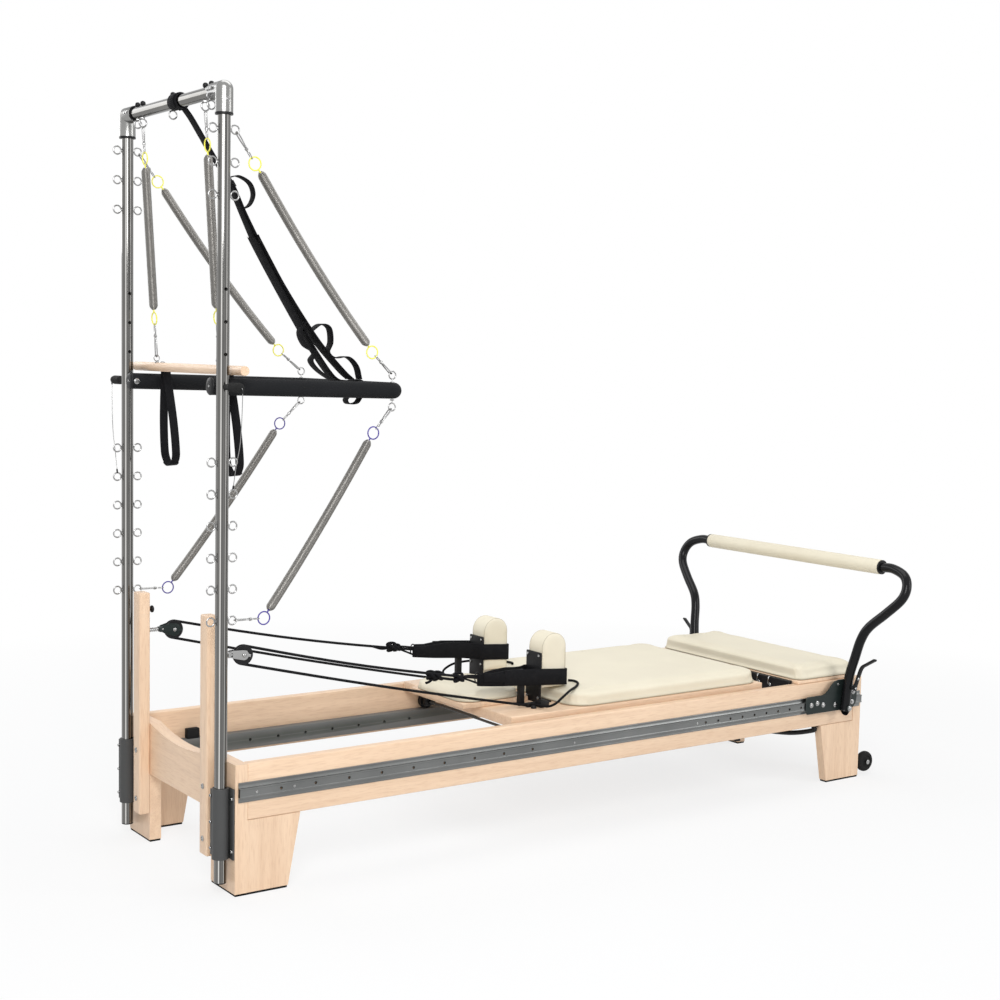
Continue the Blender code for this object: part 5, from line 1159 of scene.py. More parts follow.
def build_spring(label, name, body, tower_eye, tower_ring, bar_ring, bar_eye, colour,
                 turns, sag, node, bar_eye_r=0.0108, moving=None):
    """A spring with a coloured ring and a snap hook at each end."""
    tower_ring, bar_ring = Vector(tower_ring), Vector(bar_ring)
    way = (bar_ring - tower_ring).normalized()
    start = tower_ring + way * (RING_R + 0.0085)
    end = bar_ring - way * (RING_R + 0.0085)
    coil = swept(coil_route(start, end, 0.01045, turns, sag), 0.00165, resolution=2)
    upright = not moving
    rings = [colour_ring(tower_ring, way, upright), colour_ring(bar_ring, -way, upright)]
    hooks = [snap_hook(tower_eye, tower_ring), snap_hook(bar_eye, bar_ring, bar_eye_r)]
    fit(coil, f"{label}_coil_{name}", body, "spring_steel", SPRING_STEEL, node)
    if moving:
        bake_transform(coil)
    owners = ("frame", moving) if moving else (body, body)
    for ring, hook, owner, place in zip(rings, hooks, owners, ("tower", "bar")):
        fit(ring, f"{label}_ring_{place}_{name}", owner, "spring_steel", colour)
        fit(hook, f"{label}_hook_{place}_{name}", owner, "stainless", BRIGHT)


def build_bar_springs():
    """The four springs between the uprights and the push-through bar."""
    plans = (("upper", 1.970, (0.0645, 0.307, 1.891), (0.436, 0.275, 1.420), 1.3585, YELLOW, 0.015),
             ("lower", 0.723, (0.099, 0.308, 0.7215), (0.443, 0.2752, 1.2007), 1.271, BLUE, 0.010))
    for label, eye_z, near_tower, near_bar, bar_z, colour, sag in plans:
        for side, name in SIDES:
            build_spring(label, name, None, at(0.0065, side * TUBE_Y, eye_z),
                         across_bed(near_tower, side), across_bed(near_bar, side),
                         at(BAR_EYE_X, side * BAR_EYE_Y, bar_z), colour, 190, sag,
                         f"{label}_spring_{name}", moving="push_bar")


# Push-through bar, pins and strap

FOAM_X, FOAM_Z = 0.523, 1.316
BAR_EYE_X, BAR_EYE_Y = 0.508, 0.264


def build_push_bar():
    """The foam-covered bar, its end caps, pivots and eyes."""
    slope = math.atan2(PIVOT_Z - FOAM_Z, 0.547)
    way = Vector((math.cos(slope), 0, -math.sin(slope)))
    pivot = at(TUBE_X, 0, PIVOT_Z)
    tail = pivot + way * (-0.036 - TUBE_X)
    cross = at(FOAM_X, 0, FOAM_Z)
    out = Vector((0, 0.265, 0))
    route = bend_route([tail - out, cross - out, cross + out, tail + out], 0.026, 12)
    bar = swept(route, 0.0225, resolution=8)
    fit(bar, "push_bar_foam", "push_bar", "grip_foam", FOAM, "push_through_bar")
    caps, bolts = [], []
    for side in (-1, 1):
        cap = turned([(0.0226, 0.0), (0.0230, 0.0010), (0.0230, 0.0030), (0.0210, 0.0052),
                      (0.0120, 0.0064), (0.0006, 0.0066)], tail + side * out - way * -0.0022, -way,
                     sides=40, angle=60)
        caps.append(cap)
        bolts.append(put(socket_bolt(0.0035, 0.0016), tail + side * out - way * 0.0042, -way))
        spacer = turned([(0.0100, 0.0), (0.0100, 0.0076), (0.0096, 0.0080)],
                        at(TUBE_X, side * 0.2870, PIVOT_Z), (0, side, 0), sides=28)
        caps.append(spacer)
        bolts.append(put(hex_bolt(0.0062, 0.0040), at(TUBE_X, side * 0.2432, PIVOT_Z),
                         (0, -side, 0)))
    fit_black(caps, "push_bar_caps", "push_bar")
    fit_bright(bolts, "push_bar_bolts", "push_bar")
    eye = screw_eye(0.0108, 0.0205, 0.0018)
    eyes = []
    for side in (-1, 1):
        for z, up in ((1.3585, 1), (1.271, -1)):
            eyes.append(twin(eye, at(BAR_EYE_X, side * BAR_EYE_Y, z - up * 0.0205), (0, 0, up)))
    remove(eye)
    fit_bright(eyes, "push_bar_eyes", "push_bar")


def build_pins():
    """Pull pins with ribbed heads, and their steel lanyards with ferrules."""
    for (side, name), out in zip(SIDES, (1, -1)):
        stations = [(0.0040, 0.3126), (0.0040, 0.3288), (0.0078, 0.3288), (0.0078, 0.3540),
                    (0.0090, 0.3555), (0.0118, 0.3600)]
        for k in range(9):
            y = 0.3640 + 0.0046 * k
            stations += [(0.0122, y), (0.0125, y + 0.0012), (0.0125, y + 0.0026),
                         (0.0118, y + 0.0038)]
        stations += [(0.0118, 0.4090), (0.0108, 0.4140), (0.0075, 0.4172), (0.0010, 0.4180)]
        pin = turned(stations, at(TUBE_X, 0, PIVOT_Z), (0, side, 0), sides=32, angle=50)
        fit(pin, f"pin_knob_{name}", f"{name}_pin", "black_plastic", RUBBER, f"pull_pin_{name}")
        eye_x, top = TUBE_X + out * 0.0305, 1.0652
        fall = PIVOT_Z - top
        points = [(TUBE_X, side * 0.4169, PIVOT_Z),
                  (TUBE_X + out * 0.002, side * 0.422, PIVOT_Z - 0.014),
                  (TUBE_X + out * 0.014, side * 0.388, PIVOT_Z - 0.5 * fall),
                  (eye_x - out * 0.004, side * 0.338, top + 0.23 * fall),
                  (eye_x, side * 0.316, top + 0.012), (eye_x, side * 0.312, top)]
        route = flow([at(*p) for p in points], 10)
        cable = swept(route, 0.0010, resolution=2)
        fit(cable, f"lanyard_{name}", f"{name}_pin", "stainless", BRIGHT)
        ferrules = []
        for index in (7, len(route) - 9):
            way = route[index + 1] - route[index]
            ferrules.append(turned([(0.0016, 0), (0.0023, 0.001), (0.0023, 0.011), (0.0016, 0.012)],
                                   route[index], way, sides=14))
        fit_black(ferrules, f"lanyard_ferrules_{name}", f"{name}_pin")


STRAP_Y = -0.0345


def arc(x, z, radius, angles):
    """Points on a circle in the plane along the bed."""
    return [(x + radius * math.cos(a), z + radius * math.sin(a)) for a in angles]


def build_strap():
    """The safety strap: round the top bar, doubled on its way down, bunched at the foam bar."""
    second_turn = [math.radians(-62 + 10 * k) for k in range(30)]
    outer = [(-0.008, 2.052), (0.012, 2.028), (0.038, 1.990), (0.080, 1.928), (0.129, 1.866),
             (0.165, 1.795), (0.206, 1.722)]
    spread = [(0.200, 1.733), (0.206, 1.722), (0.244, 1.660), (0.282, 1.600), (0.342, 1.516),
              (0.404, 1.438), (0.474, 1.368), (0.506, 1.342)]
    doubled = [(0.129, 1.862), (0.163, 1.790), (0.199, 1.716)]
    below = [(0.196, 1.722), (0.199, 1.716), (0.236, 1.655), (0.292, 1.566), (0.340, 1.492),
             (0.386, 1.424), (0.446, 1.350), (0.488, 1.335)]
    bunch = [(0.352, 1.503), (0.336, 1.470), (0.352, 1.436), (0.384, 1.416), (0.372, 1.392),
             (0.400, 1.362), (0.456, 1.332), (0.494, 1.324)]
    loop = [(0.378, 1.474), (0.412, 1.496), (0.440, 1.486), (0.446, 1.446), (0.436, 1.418),
            (0.458, 1.402), (0.500, 1.405), (0.530, 1.380), (0.542, 1.342)]
    side = [(0.124, 1.882), (0.150, 1.888), (0.184, 1.872), (0.196, 1.842), (0.184, 1.812),
            (0.157, 1.798)]
    knob = [(0.506, 1.297), (0.492, 1.284), (0.500, 1.272), (0.526, 1.274), (0.540, 1.291)]
    strands = [(arc(TUBE_X, CROSSBAR_Z, 0.0190, round_angles(36)), 0.056, 0.003, 0.0, True),
               (arc(TUBE_X, CROSSBAR_Z, 0.0221, second_turn), 0.038, 0.0028, 0.001, False),
               (outer, 0.034, 0.0028, 0.0, False), (spread, 0.050, 0.0028, 0.0, False),
               (doubled, 0.030, 0.0028, 0.004, False), (below, 0.046, 0.0028, 0.003, False),
               (bunch, 0.034, 0.0026, -0.010, False), (loop, 0.034, 0.0026, 0.010, False),
               (side, 0.028, 0.0024, 0.002, False),
               (arc(FOAM_X, FOAM_Z, 0.0248, round_angles(36)), 0.048, 0.0030, 0.0, True),
               (knob, 0.030, 0.0026, 0.0, False)]
    bands = []
    for route, wide, thick, shift, closed in strands:
        smooth = flow([(u, v, 0) for u, v in route], 4 if closed else 7, closed)
        spots = [(HEAD + p.x, p.y) for p in smooth]
        bands.append(band(spots, wide, thick, 'Y', STRAP_Y + shift, closed))
    strap = join(*bands)
    fit(strap, "strap_webbing", None, "webbing", WEBBING, "safety_strap")
    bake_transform(strap)
    buckles = []
    for x, z, tilt in ((0.129, 1.866, -56), (0.206, 1.718, -54)):
        frame_piece = swept([Vector((u, v, 0)) for u, v in
                             ((-0.008, -0.021), (0.008, -0.021), (0.008, 0.021), (-0.008, 0.021))],
                            0.0019, closed=True, resolution=2)
        bar = swept([Vector((0, -0.020, 0)), Vector((0, 0.020, 0))], 0.0015, resolution=2)
        buckle = join(frame_piece, bar)
        a = math.radians(tilt)
        put(buckle, at(x, STRAP_Y, z), (-math.sin(a), 0, math.cos(a)))
        buckles.append(buckle)
    buckle = join(*buckles)
    fit(buckle, "strap_buckles", None, "stainless", PLASTIC)
    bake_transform(buckle)


# Roll-down bar

HANG_Y, HANG_TOP = 0.202, 2.032
LEAN = math.radians(3.7)


def hung(drop, y, forward=0.0):
    """A place below the hanging point, leaned with the roll-down bar."""
    x = forward * math.cos(LEAN) + drop * math.sin(LEAN)
    z = -drop * math.cos(LEAN) + forward * math.sin(LEAN)
    return at(TUBE_X + x, y, HANG_TOP + z)


def build_roll_down():
    """The wooden bar on its two springs, with a hand loop at each side."""
    bar = turned([(0.0112, -0.352), (0.0125, -0.3505), (0.0125, -0.334), (0.0125, -0.331),
                  (0.0125, -0.2925), (0.0125, -0.2905), (0.0125, 0.2905), (0.0125, 0.2925),
                  (0.0125, 0.331), (0.0125, 0.334), (0.0125, 0.3505), (0.0112, 0.352)],
                 hung(0.667, 0), (0, 1, 0), sides=40)
    fit(bar, "roll_down_dowel", "roll_down", "maple", MAPLE_ACROSS, "roll_down_bar")
    down = hung(1, 0) - hung(0, 0)
    eye = screw_eye(0.0080, 0.0125, 0.0014)
    for side, name in SIDES:
        y = side * HANG_Y
        build_spring("vertical", name, "roll_down", hung(0, y), hung(0.092, y), hung(0.532, y),
                     hung(0.642, y), YELLOW, 136, 0.0, f"vertical_spring_{name}", 0.008)
        build_hand_loop(side, name)
    eyes = [twin(eye, hung(0.6545, side * HANG_Y), -down) for side in (-1, 1)]
    remove(eye)
    fit_bright(eyes, "roll_down_eyes", "roll_down")


def build_hand_loop(side, name):
    """A wide webbing loop under the bar, drawn in at its hook, with a padded grip."""
    y = side * HANG_Y
    half, top, bottom = 0.0390, 0.668, 0.9455
    turn = bottom - half
    outline = [(0.0035, top), (0.0090, top + 0.035), (0.0210, top + 0.085), (0.0330, top + 0.150),
               (0.0385, top + 0.205), (half, turn)]
    outline += [(half * math.cos(a), turn + half * math.sin(a))
                for a in (math.pi * k / 10 for k in range(1, 10))]
    outline += [(-u, v) for u, v in reversed(outline[:6])]
    smooth = flow([(u, -v, 0) for u, v in outline], 3)
    loop = band([(p.x, p.y) for p in smooth], 0.024, 0.003, 'X', 0.0)
    grip = band([(p.x * 1.05, p.y - 0.0010) for p in smooth[24:-24]], 0.027, 0.0034, 'X', 0.0)
    cover(loop, WEBBING)
    cover(grip, PADDED_WEBBING)
    loop = join(loop, grip)
    place = hung(0, y, 0.0248)
    loop.matrix_world = Matrix.Translation(place) @ Matrix.Rotation(-LEAN, 4, 'Y')
    settle(loop)
    fit(loop, f"hand_loop_webbing_{name}", "roll_down", "webbing", None, f"hand_loop_{name}")
    ring = [hung(0.664, y, 0.0165) + Vector((0.0105 * math.cos(a), 0, 0.0105 * math.sin(a)))
            for a in round_angles(24)]
    fit(swept(ring, 0.0014, closed=True, resolution=2), f"hand_loop_ring_{name}", "roll_down",
        "stainless", BRIGHT)


# Pulleys and ropes

SHEAVE_X, SHEAVE_Z = 0.080, 0.612
POST_Y = 0.2245


def build_pulleys():
    """Each pulley's cheeks, link and pin, and its grooved sheave."""
    tilt = math.radians(-8)
    for side, name in SIDES:
        y = side * POST_Y
        sheave = bored([(0.0048, -0.007), (0.0262, -0.007), (0.027, -0.0064), (0.027, -0.0052),
                        (0.0230, -0.0040), (0.0202, -0.0024), (0.0196, 0.0), (0.0202, 0.0024),
                        (0.0230, 0.0040), (0.027, 0.0052), (0.027, 0.0064), (0.0262, 0.007),
                        (0.0048, 0.007)], at(SHEAVE_X, y, SHEAVE_Z), (0, 1, 0), sides=48)
        drill_holes(sheave, 0.0030, (-0.02, 0.02),
                    [at(SHEAVE_X + 0.0125 * math.cos(a), y, SHEAVE_Z + 0.0125 * math.sin(a))
                     for a in round_angles(6)], (0, 1, 0), sides=16)
        fit(sheave, f"pulley_wheel_{name}", f"{name}_sheave", "black_plastic", PLASTIC,
            f"sheave_{name}")
        bright = side < 0
        reach = 0.0135 if bright else 0.0185
        outline = [(-0.040, 0.0075), (-0.034, 0.0100), (-0.018, reach - 0.0015), (0.0, reach)]
        outline += [(reach * math.sin(a), reach * math.cos(a))
                    for a in (math.pi * k / 14 for k in range(1, 7))]
        outline += [(reach + 0.0060, 0.0040)]
        outline += [(u, -v) for u, v in reversed(outline)]
        turn = Matrix.Rotation(tilt, 2)
        spots = []
        for u, v in outline:
            spot = turn @ Vector((u, v))
            spots.append((HEAD + SHEAVE_X + spot.x, SHEAVE_Z + spot.y))
        cheeks = [shaped_plate([spots], 0.0024, 0.0007, 'Y', (0, y + out * 0.0089, 0))
                  for out in (-1, 1)]
        yoke = block(at(SHEAVE_X - 0.046, y - 0.0101, SHEAVE_Z - 0.004),
                     at(SHEAVE_X - 0.031, y + 0.0101, SHEAVE_Z + 0.0105), 0.002)
        fit(join(*cheeks, yoke), f"pulley_cheeks_{name}", "frame", "stainless",
            BRIGHT if bright else GREEN_BLACK, f"pulley_block_{name}")
        rivets = [turned([(0.0058, 0.0), (0.0056, 0.0014), (0.0040, 0.0026), (0.0008, 0.0030)],
                         at(SHEAVE_X, y + out * 0.0100, SHEAVE_Z), (0, out, 0), sides=24,
                         angle=60) for out in (-1, 1)]
        rivets += [turned([(0.0030, 0.0), (0.0028, 0.0010), (0.0008, 0.0016)],
                          at(SHEAVE_X - 0.0375, y + out * 0.0100, SHEAVE_Z + 0.0045),
                          (0, out, 0), sides=20, angle=60) for out in (-1, 1)]
        coil = []
        for k in range(5 * 12 + 1):
            angle = math.tau * k / 12
            coil.append(at(0.004 + 0.030 * k / 60, y + 0.0048 * math.cos(angle),
                           SHEAVE_Z + 0.0035 + 0.0048 * math.sin(angle)))
        link = swept(coil, 0.0017, resolution=2)
        plate_piece = turned([(0.0125, 0.0), (0.0125, 0.0018), (0.0110, 0.0026), (0.0055, 0.0030),
                              (0.0050, 0.0070)], at(-0.0003, y, SHEAVE_Z + 0.0035), (1, 0, 0))
        fit(join(*rivets, link, plate_piece), f"pulley_hardware_{name}", "frame", "stainless",
            BRIGHT)
        knob = turned([(0.0040, -0.001), (0.0040, 0.0090), (0.0085, 0.0105), (0.0105, 0.0135),
                       (0.0100, 0.0165), (0.0070, 0.0185), (0.0008, 0.0190)],
                      at(-0.0003, y, 0.676), (1, 0, 0), sides=28, angle=60)
        if side > 0:
            fit(knob, f"post_knob_{name}", "frame", "black_plastic", PLASTIC)
        else:
            remove(knob)


def knot(centre, way, size):
    """A small overhand knot of the same rope."""
    route = []
    for k in range(40):
        a = math.tau * k / 40
        route.append(Vector((size * 0.62 * (math.sin(a) + 2 * math.sin(2 * a)) * 0.6,
                             size * 0.62 * (math.cos(a) - 2 * math.cos(2 * a)) * 0.6,
                             size * 1.3 * -math.sin(3 * a) * 0.7)))
    return put(swept(route, 0.0043, closed=True, resolution=2), centre, way)


def build_ropes():
    """Each rope from its foot loop round the sheave to its cleat, with its knots."""
    groove = 0.0243
    for side, name in SIDES:
        y_loop, y_cleat = side * LOOP_Y, side * 0.2145
        loop_end = at(0.868, y_loop, LOOP_END[side])
        cleat = at(1.026, y_cleat, 0.3693)
        hub = at(SHEAVE_X, side * POST_Y, SHEAVE_Z)
        first = math.pi / 2 + math.atan2(loop_end.z - hub.z - groove, loop_end.x - hub.x)
        last = 1.5 * math.pi + math.atan2(cleat.z - hub.z + groove, cleat.x - hub.x)
        turn = [hub + Vector((groove * math.cos(a), 0, groove * math.sin(a)))
                for a in (first + (last - first) * k / 24 for k in range(25))]
        upper = [loop_end.lerp(turn[0], t / 12) - Vector((0, 0, 0.010 * math.sin(math.pi * t / 12)))
                 for t in range(12)]
        lower = [turn[-1].lerp(cleat, t / 12) - Vector((0, 0, 0.006 * math.sin(math.pi * t / 12)))
                 for t in range(1, 13)]
        rope = swept(upper + turn + lower, 0.004, resolution=3)
        fit(rope, f"rope_run_{name}", None, "rope", BRAID, f"rope_{name}")
        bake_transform(rope)
        way = (turn[0] - loop_end).normalized()
        if side < 0:
            big, small = at(0.7165, y_loop, 0.484), at(0.802, y_loop, 0.470)
            knots = [knot(big - way * 0.012, way, 0.0125), knot(big + way * 0.013, way, 0.0110),
                     knot(small, way, 0.0130)]
            double = [big + Vector((0.01, 0, -0.006)), big.lerp(small, 0.5) - Vector((0, 0, 0.006)),
                      small - Vector((0.01, 0, 0.005))]
            stub = [big + Vector((0, 0, -0.004)), big + Vector((-0.020, -0.006, -0.014)),
                    big + Vector((-0.034, -0.010, -0.016))]
            pieces = (double, stub)
        else:
            small = at(0.791, y_loop, 0.503)
            knots = [knot(small, way, 0.0130), knot(small - way * 0.018, way, 0.0095)]
            pieces = ([small, small + Vector((-0.028, 0.010, -0.004)),
                       small + Vector((-0.056, 0.018, 0.004))],)
        for piece in pieces:
            knots.append(swept(flow(piece, 6), 0.0040, resolution=2))
        for out in (-1, 1):
            limb = flow([small + Vector((0.004, 0, 0)),
                         small.lerp(loop_end, 0.5) + Vector((0, 0, out * 0.006)),
                         at(0.880, y_loop, loop_end.z - 0.008 + out * 0.0125)], 6)
            knots.append(swept(limb, 0.0030, resolution=2))
        fit(join(*knots), f"rope_knot_{name}", "carriage", "rope", BRAID)
        tail = flow([at(1.040, y_cleat, 0.3720), at(1.048, side * 0.250, 0.3740),
                     at(1.055, side * 0.286, 0.3760), at(1.072, side * 0.302, 0.3860),
                     at(1.105, side * 0.296, 0.4020), at(1.150, side * 0.270, 0.4110),
                     at(1.200, side * 0.235, 0.4120), at(1.235, side * 0.200, 0.4130),
                     at(1.246, side * 0.168, 0.4130), at(1.236, side * 0.150, 0.4130)], 7)
        fit(swept(tail, 0.0038, resolution=2), f"rope_tail_{name}", "carriage", "rope", BRAID)


# Cushions

def cushion_block(low, high, corner, crown):
    """A pad before it is stuffed: rounded in plan, a soft top and drawn-in sides."""
    piece = plain_box(low, high)
    pick(piece, 'EDGE', lambda middle, edge: abs((edge.verts[0].co - edge.verts[1].co).z) > 1e-4)
    bpy.ops.mesh.bevel(offset=corner, segments=8, affect='EDGES')
    pick(piece, 'EDGE', lambda middle, edge: middle.z > high.z - 1e-5
         and abs((edge.verts[0].co - edge.verts[1].co).z) < 1e-5)
    bpy.ops.mesh.bevel(offset=crown, segments=4, affect='EDGES')
    pick(piece, 'EDGE', lambda middle, edge: middle.z < low.z + 1e-5)
    bpy.ops.mesh.bevel(offset=crown * 0.25, segments=2, affect='EDGES')
    bpy.ops.object.mode_set(mode='OBJECT')
    return piece


CLOTH_FRAMES = 20
CLOTH_PRESSURE = 4.0


def stuff(piece, voxel, cap, flat_below):
    """Fills a pad with a cloth simulation, limits how far it swells and keeps its base flat."""
    only(piece)
    piece.data.remesh_voxel_size = voxel
    bpy.ops.object.voxel_remesh()
    rest = [vert.co.copy() for vert in piece.data.vertices]
    scene = bpy.context.scene
    group = piece.vertex_groups.new(name="base")
    group.add([vert.index for vert in piece.data.vertices if vert.co.z < flat_below], 1.0,
              'REPLACE')
    modifier = piece.modifiers.new("stuffing", 'CLOTH')
    settings = modifier.settings
    settings.use_pressure = True
    settings.uniform_pressure_force = CLOTH_PRESSURE
    settings.vertex_group_mass = "base"
    settings.effector_weights.gravity = 0
    settings.quality = 4
    modifier.collision_settings.use_collision = False
    for number in range(1, CLOTH_FRAMES + 1):
        scene.frame_set(number)
    only(piece)
    bpy.ops.object.modifier_apply(modifier=modifier.name)
    scene.frame_set(1)
    for vert, start in zip(piece.data.vertices, rest):
        move = vert.co - start
        if move.length > cap:
            vert.co = start + move * (cap / move.length)
    piece.vertex_groups.clear()
    use_modifier(piece, 'SMOOTH', factor=0.5, iterations=3)
    use_modifier(piece, 'SUBSURF', levels=1, render_levels=1)
    only(piece)
    bpy.ops.object.shade_smooth()
    return piece


def on_surface(piece, spot):
    """The place on a piece's skin that is nearest to a point."""
    found, place = piece.closest_point_on_mesh(spot)[:2]
    return place if found else spot


def seam_line(x0, x1, y0, y1, z, corner, radius):
    """The piping round a pad at one height."""
    spots = []
    for cx, cy, start in ((x1 - corner, y1 - corner, 0), (x0 + corner, y1 - corner, 90),
                          (x0 + corner, y0 + corner, 180), (x1 - corner, y0 + corner, 270)):
        for k in range(13):
            a = math.radians(start + 90 * k / 12)
            spots.append(at(cx + corner * math.cos(a), cy + corner * math.sin(a), z))
    return swept(spots, radius, closed=True, resolution=2)


def build_pad(name, body, node, x0, x1, half, low, high, corner):
    """A cream pad with piping round its foot."""
    inset = 0.002
    pad = cushion_block(at(x0 + inset, -half + inset, low),
                        at(x1 - inset, half - inset, high - 0.002), corner - inset, 0.010)
    stuff(pad, 0.006, 0.006, low + 0.004)
    fit(pad, name, body, "cream_vinyl", CREAM, node)
    seam = seam_line(x0 + 0.0012, x1 - 0.0012, -half + 0.0012, half - 0.0012, low + 0.0035, corner,
                     0.0018)
    # The piping's darker cream is painted shade along the pad's foot.
    fit(seam, f"{name}_piping", body, "cream_vinyl", CREAM_SEAM_PAINTED_SHADE)


# Carriage

BOARD_TOP = 0.3620
FRONT_AXLE_X, REAR_AXLE_X = 1.000, 1.850
AXLE_Z = 0.2883
SPRING_Z = 0.3174
REST_Y = 0.1555
LOOP_Y = 0.181


def build_carriage():
    """Board with its fittings, pads, headrest, shoulder rests, loops, rollers and springs."""
    board = block(at(0.912, -0.300, 0.330), at(1.930, 0.300, 0.3623), 0.0035)
    fit(board, "carriage_board", "carriage", "maple", MAPLE_ALONG, "carriage_frame")
    fittings, bolts = [], []
    for side, name in SIDES:
        for x in (FRONT_AXLE_X, REAR_AXLE_X):
            bracket = side_block(side, x - 0.020, x + 0.020, 0.2741, 0.2941, 0.2763, 0.3303, 0.003)
            drill = turned([(0.0050, -0.05), (0.0050, 0.05)], at(x, side * 0.284, AXLE_Z),
                           (0, 1, 0), 20)
            cut(bracket, drill)
            fittings.append(bracket)
        outline = [(1.0940, BOARD_TOP), (1.0997, BOARD_TOP), (1.0997, 0.5140), (1.0985, 0.5180),
                   (1.0952, 0.5180), (1.0940, 0.5140)]
        plate_piece = shaped_plate([[(HEAD + u, v) for u, v in outline]], 0.073, 0.0006, 'Y',
                                   (0, side * REST_Y, 0))
        foot = side_block(side, 1.0960, 1.1400, 0.119, 0.192, BOARD_TOP, 0.3680, 0.0015, 2)
        peg = side_block(side, 1.028, 1.046, 0.163, 0.181, BOARD_TOP, 0.480 + side * 0.010,
                         0.0022, 3)
        base = side_block(side, 1.019, 1.055, 0.154, 0.190, BOARD_TOP, 0.3665, 0.0015, 2)
        cleat = side_block(side, 1.028, 1.062, 0.2075, 0.2215, BOARD_TOP, 0.3763, 0.003, 3)
        fittings += [plate_piece, foot, peg, base, cleat]
        for y in (0.127, 0.184):
            for z in (0.508, 0.430, 0.378):
                bolts.append(put(socket_bolt(0.0042, 0.0026), at(1.0939, side * y, z), (-1, 0, 0)))
        for x in (1.0225, 1.0515):
            for y in (0.158, 0.186):
                bolts.append(put(socket_bolt(0.0026, 0.0016), at(x, side * y, 0.3665)))
        for x in (FRONT_AXLE_X, REAR_AXLE_X):
            bolts.append(put(hex_bolt(0.0055, 0.0038), at(x, side * 0.2741, 0.3080),
                             (0, -side, 0)))
    fit_black(fittings, "carriage_fittings", "carriage")
    fit_bright(bolts, "carriage_bolts", "carriage")
    stops = []
    for side in (-1, 1):
        stops += [side_block(side, 1.060, 1.092, 0.214, 0.246, BOARD_TOP, 0.3820, 0.003, 2),
                  side_block(side, 0.966, 1.012, 0.108, 0.142, BOARD_TOP, 0.3800, 0.003, 2),
                  turned([(0.0085, 0.0), (0.0085, 0.006), (0.0060, 0.009), (0.0008, 0.010)],
                         at(1.040, side * 0.236, BOARD_TOP), sides=24, angle=60)]
    fit_black(stops, "rope_stops", "carriage")
    build_pad("main_pad_cushion", "carriage", "main_pad", 1.149, 1.930, 0.300, 0.3627, 0.405,
              0.070)
    rest_board = block(at(0.845, -0.146, 0.3626), at(1.085, 0.146, 0.3786), 0.0025, 3)
    fit(rest_board, "headrest_wood", "headrest", "maple", MAPLE_ACROSS, "headrest_board")
    build_pad("headrest_cushion", "headrest", "headrest_pad", 0.845, 1.069, 0.146, 0.3790, 0.407,
              0.052)
    hinge = []
    for y in (-0.085, 0.085):
        hinge.append(turned([(0.0045, -0.030), (0.0050, -0.0295), (0.0050, 0.0295),
                             (0.0045, 0.030)], at(1.0890, y, 0.3665), (0, 1, 0), 20))
        hinge.append(block(at(1.0700, y - 0.028, 0.3787), at(1.0880, y + 0.028, 0.3800), 0.0005, 1))
    fit(join(*hinge), "headrest_hinges", "headrest", "grey_powder", GREY_COAT)
    for side, name in SIDES:
        build_shoulder_rest(side, name)
        build_foot_loop(side, name)
    build_rollers()
    build_carriage_springs()


def build_shoulder_rest(side, name):
    """A stuffed tombstone: flat below, round above, with a seam round each face."""
    x0, x1, low, high = 1.1005, 1.1945, 0.4075, 0.5785
    inset = 0.0010
    radius = (x1 - x0) / 2 - inset
    outline = [(x0 + inset, low + inset), (x1 - inset, low + inset)]
    outline += [((x0 + x1) / 2 + radius * math.cos(a), high - inset - radius + radius * math.sin(a))
                for a in (math.pi * k / 24 for k in range(25))]
    rest = shaped_plate([[(HEAD + u, v) for u, v in outline]], 0.0745 - 2 * inset, 0.006, 'Y',
                        (0, side * REST_Y, 0))
    stuff(rest, 0.004, 0.002, low + 0.008)
    fit(rest, f"shoulder_cushion_{name}", "carriage", "cream_vinyl", CREAM, f"shoulder_rest_{name}")
    seams = []
    for y in (0.1215, 0.1895):
        size = (x1 - x0) / 2
        spots = [at(x0, side * y, low + 0.006)]
        spots += [at((x0 + x1) / 2 + size * math.cos(a), side * y, high - size + size * math.sin(a))
                  for a in (math.pi * (1 - k / 24) for k in range(25))]
        spots.append(at(x1, side * y, low + 0.006))
        seams.append(swept([on_surface(rest, spot) for spot in spots], 0.0011, resolution=2))
    fit(join(*seams), f"shoulder_seams_{name}", "carriage", "cream_vinyl", CREAM_SEAM_PAINTED_SHADE)


LOOP_END = {-1: 0.463, 1: 0.489}


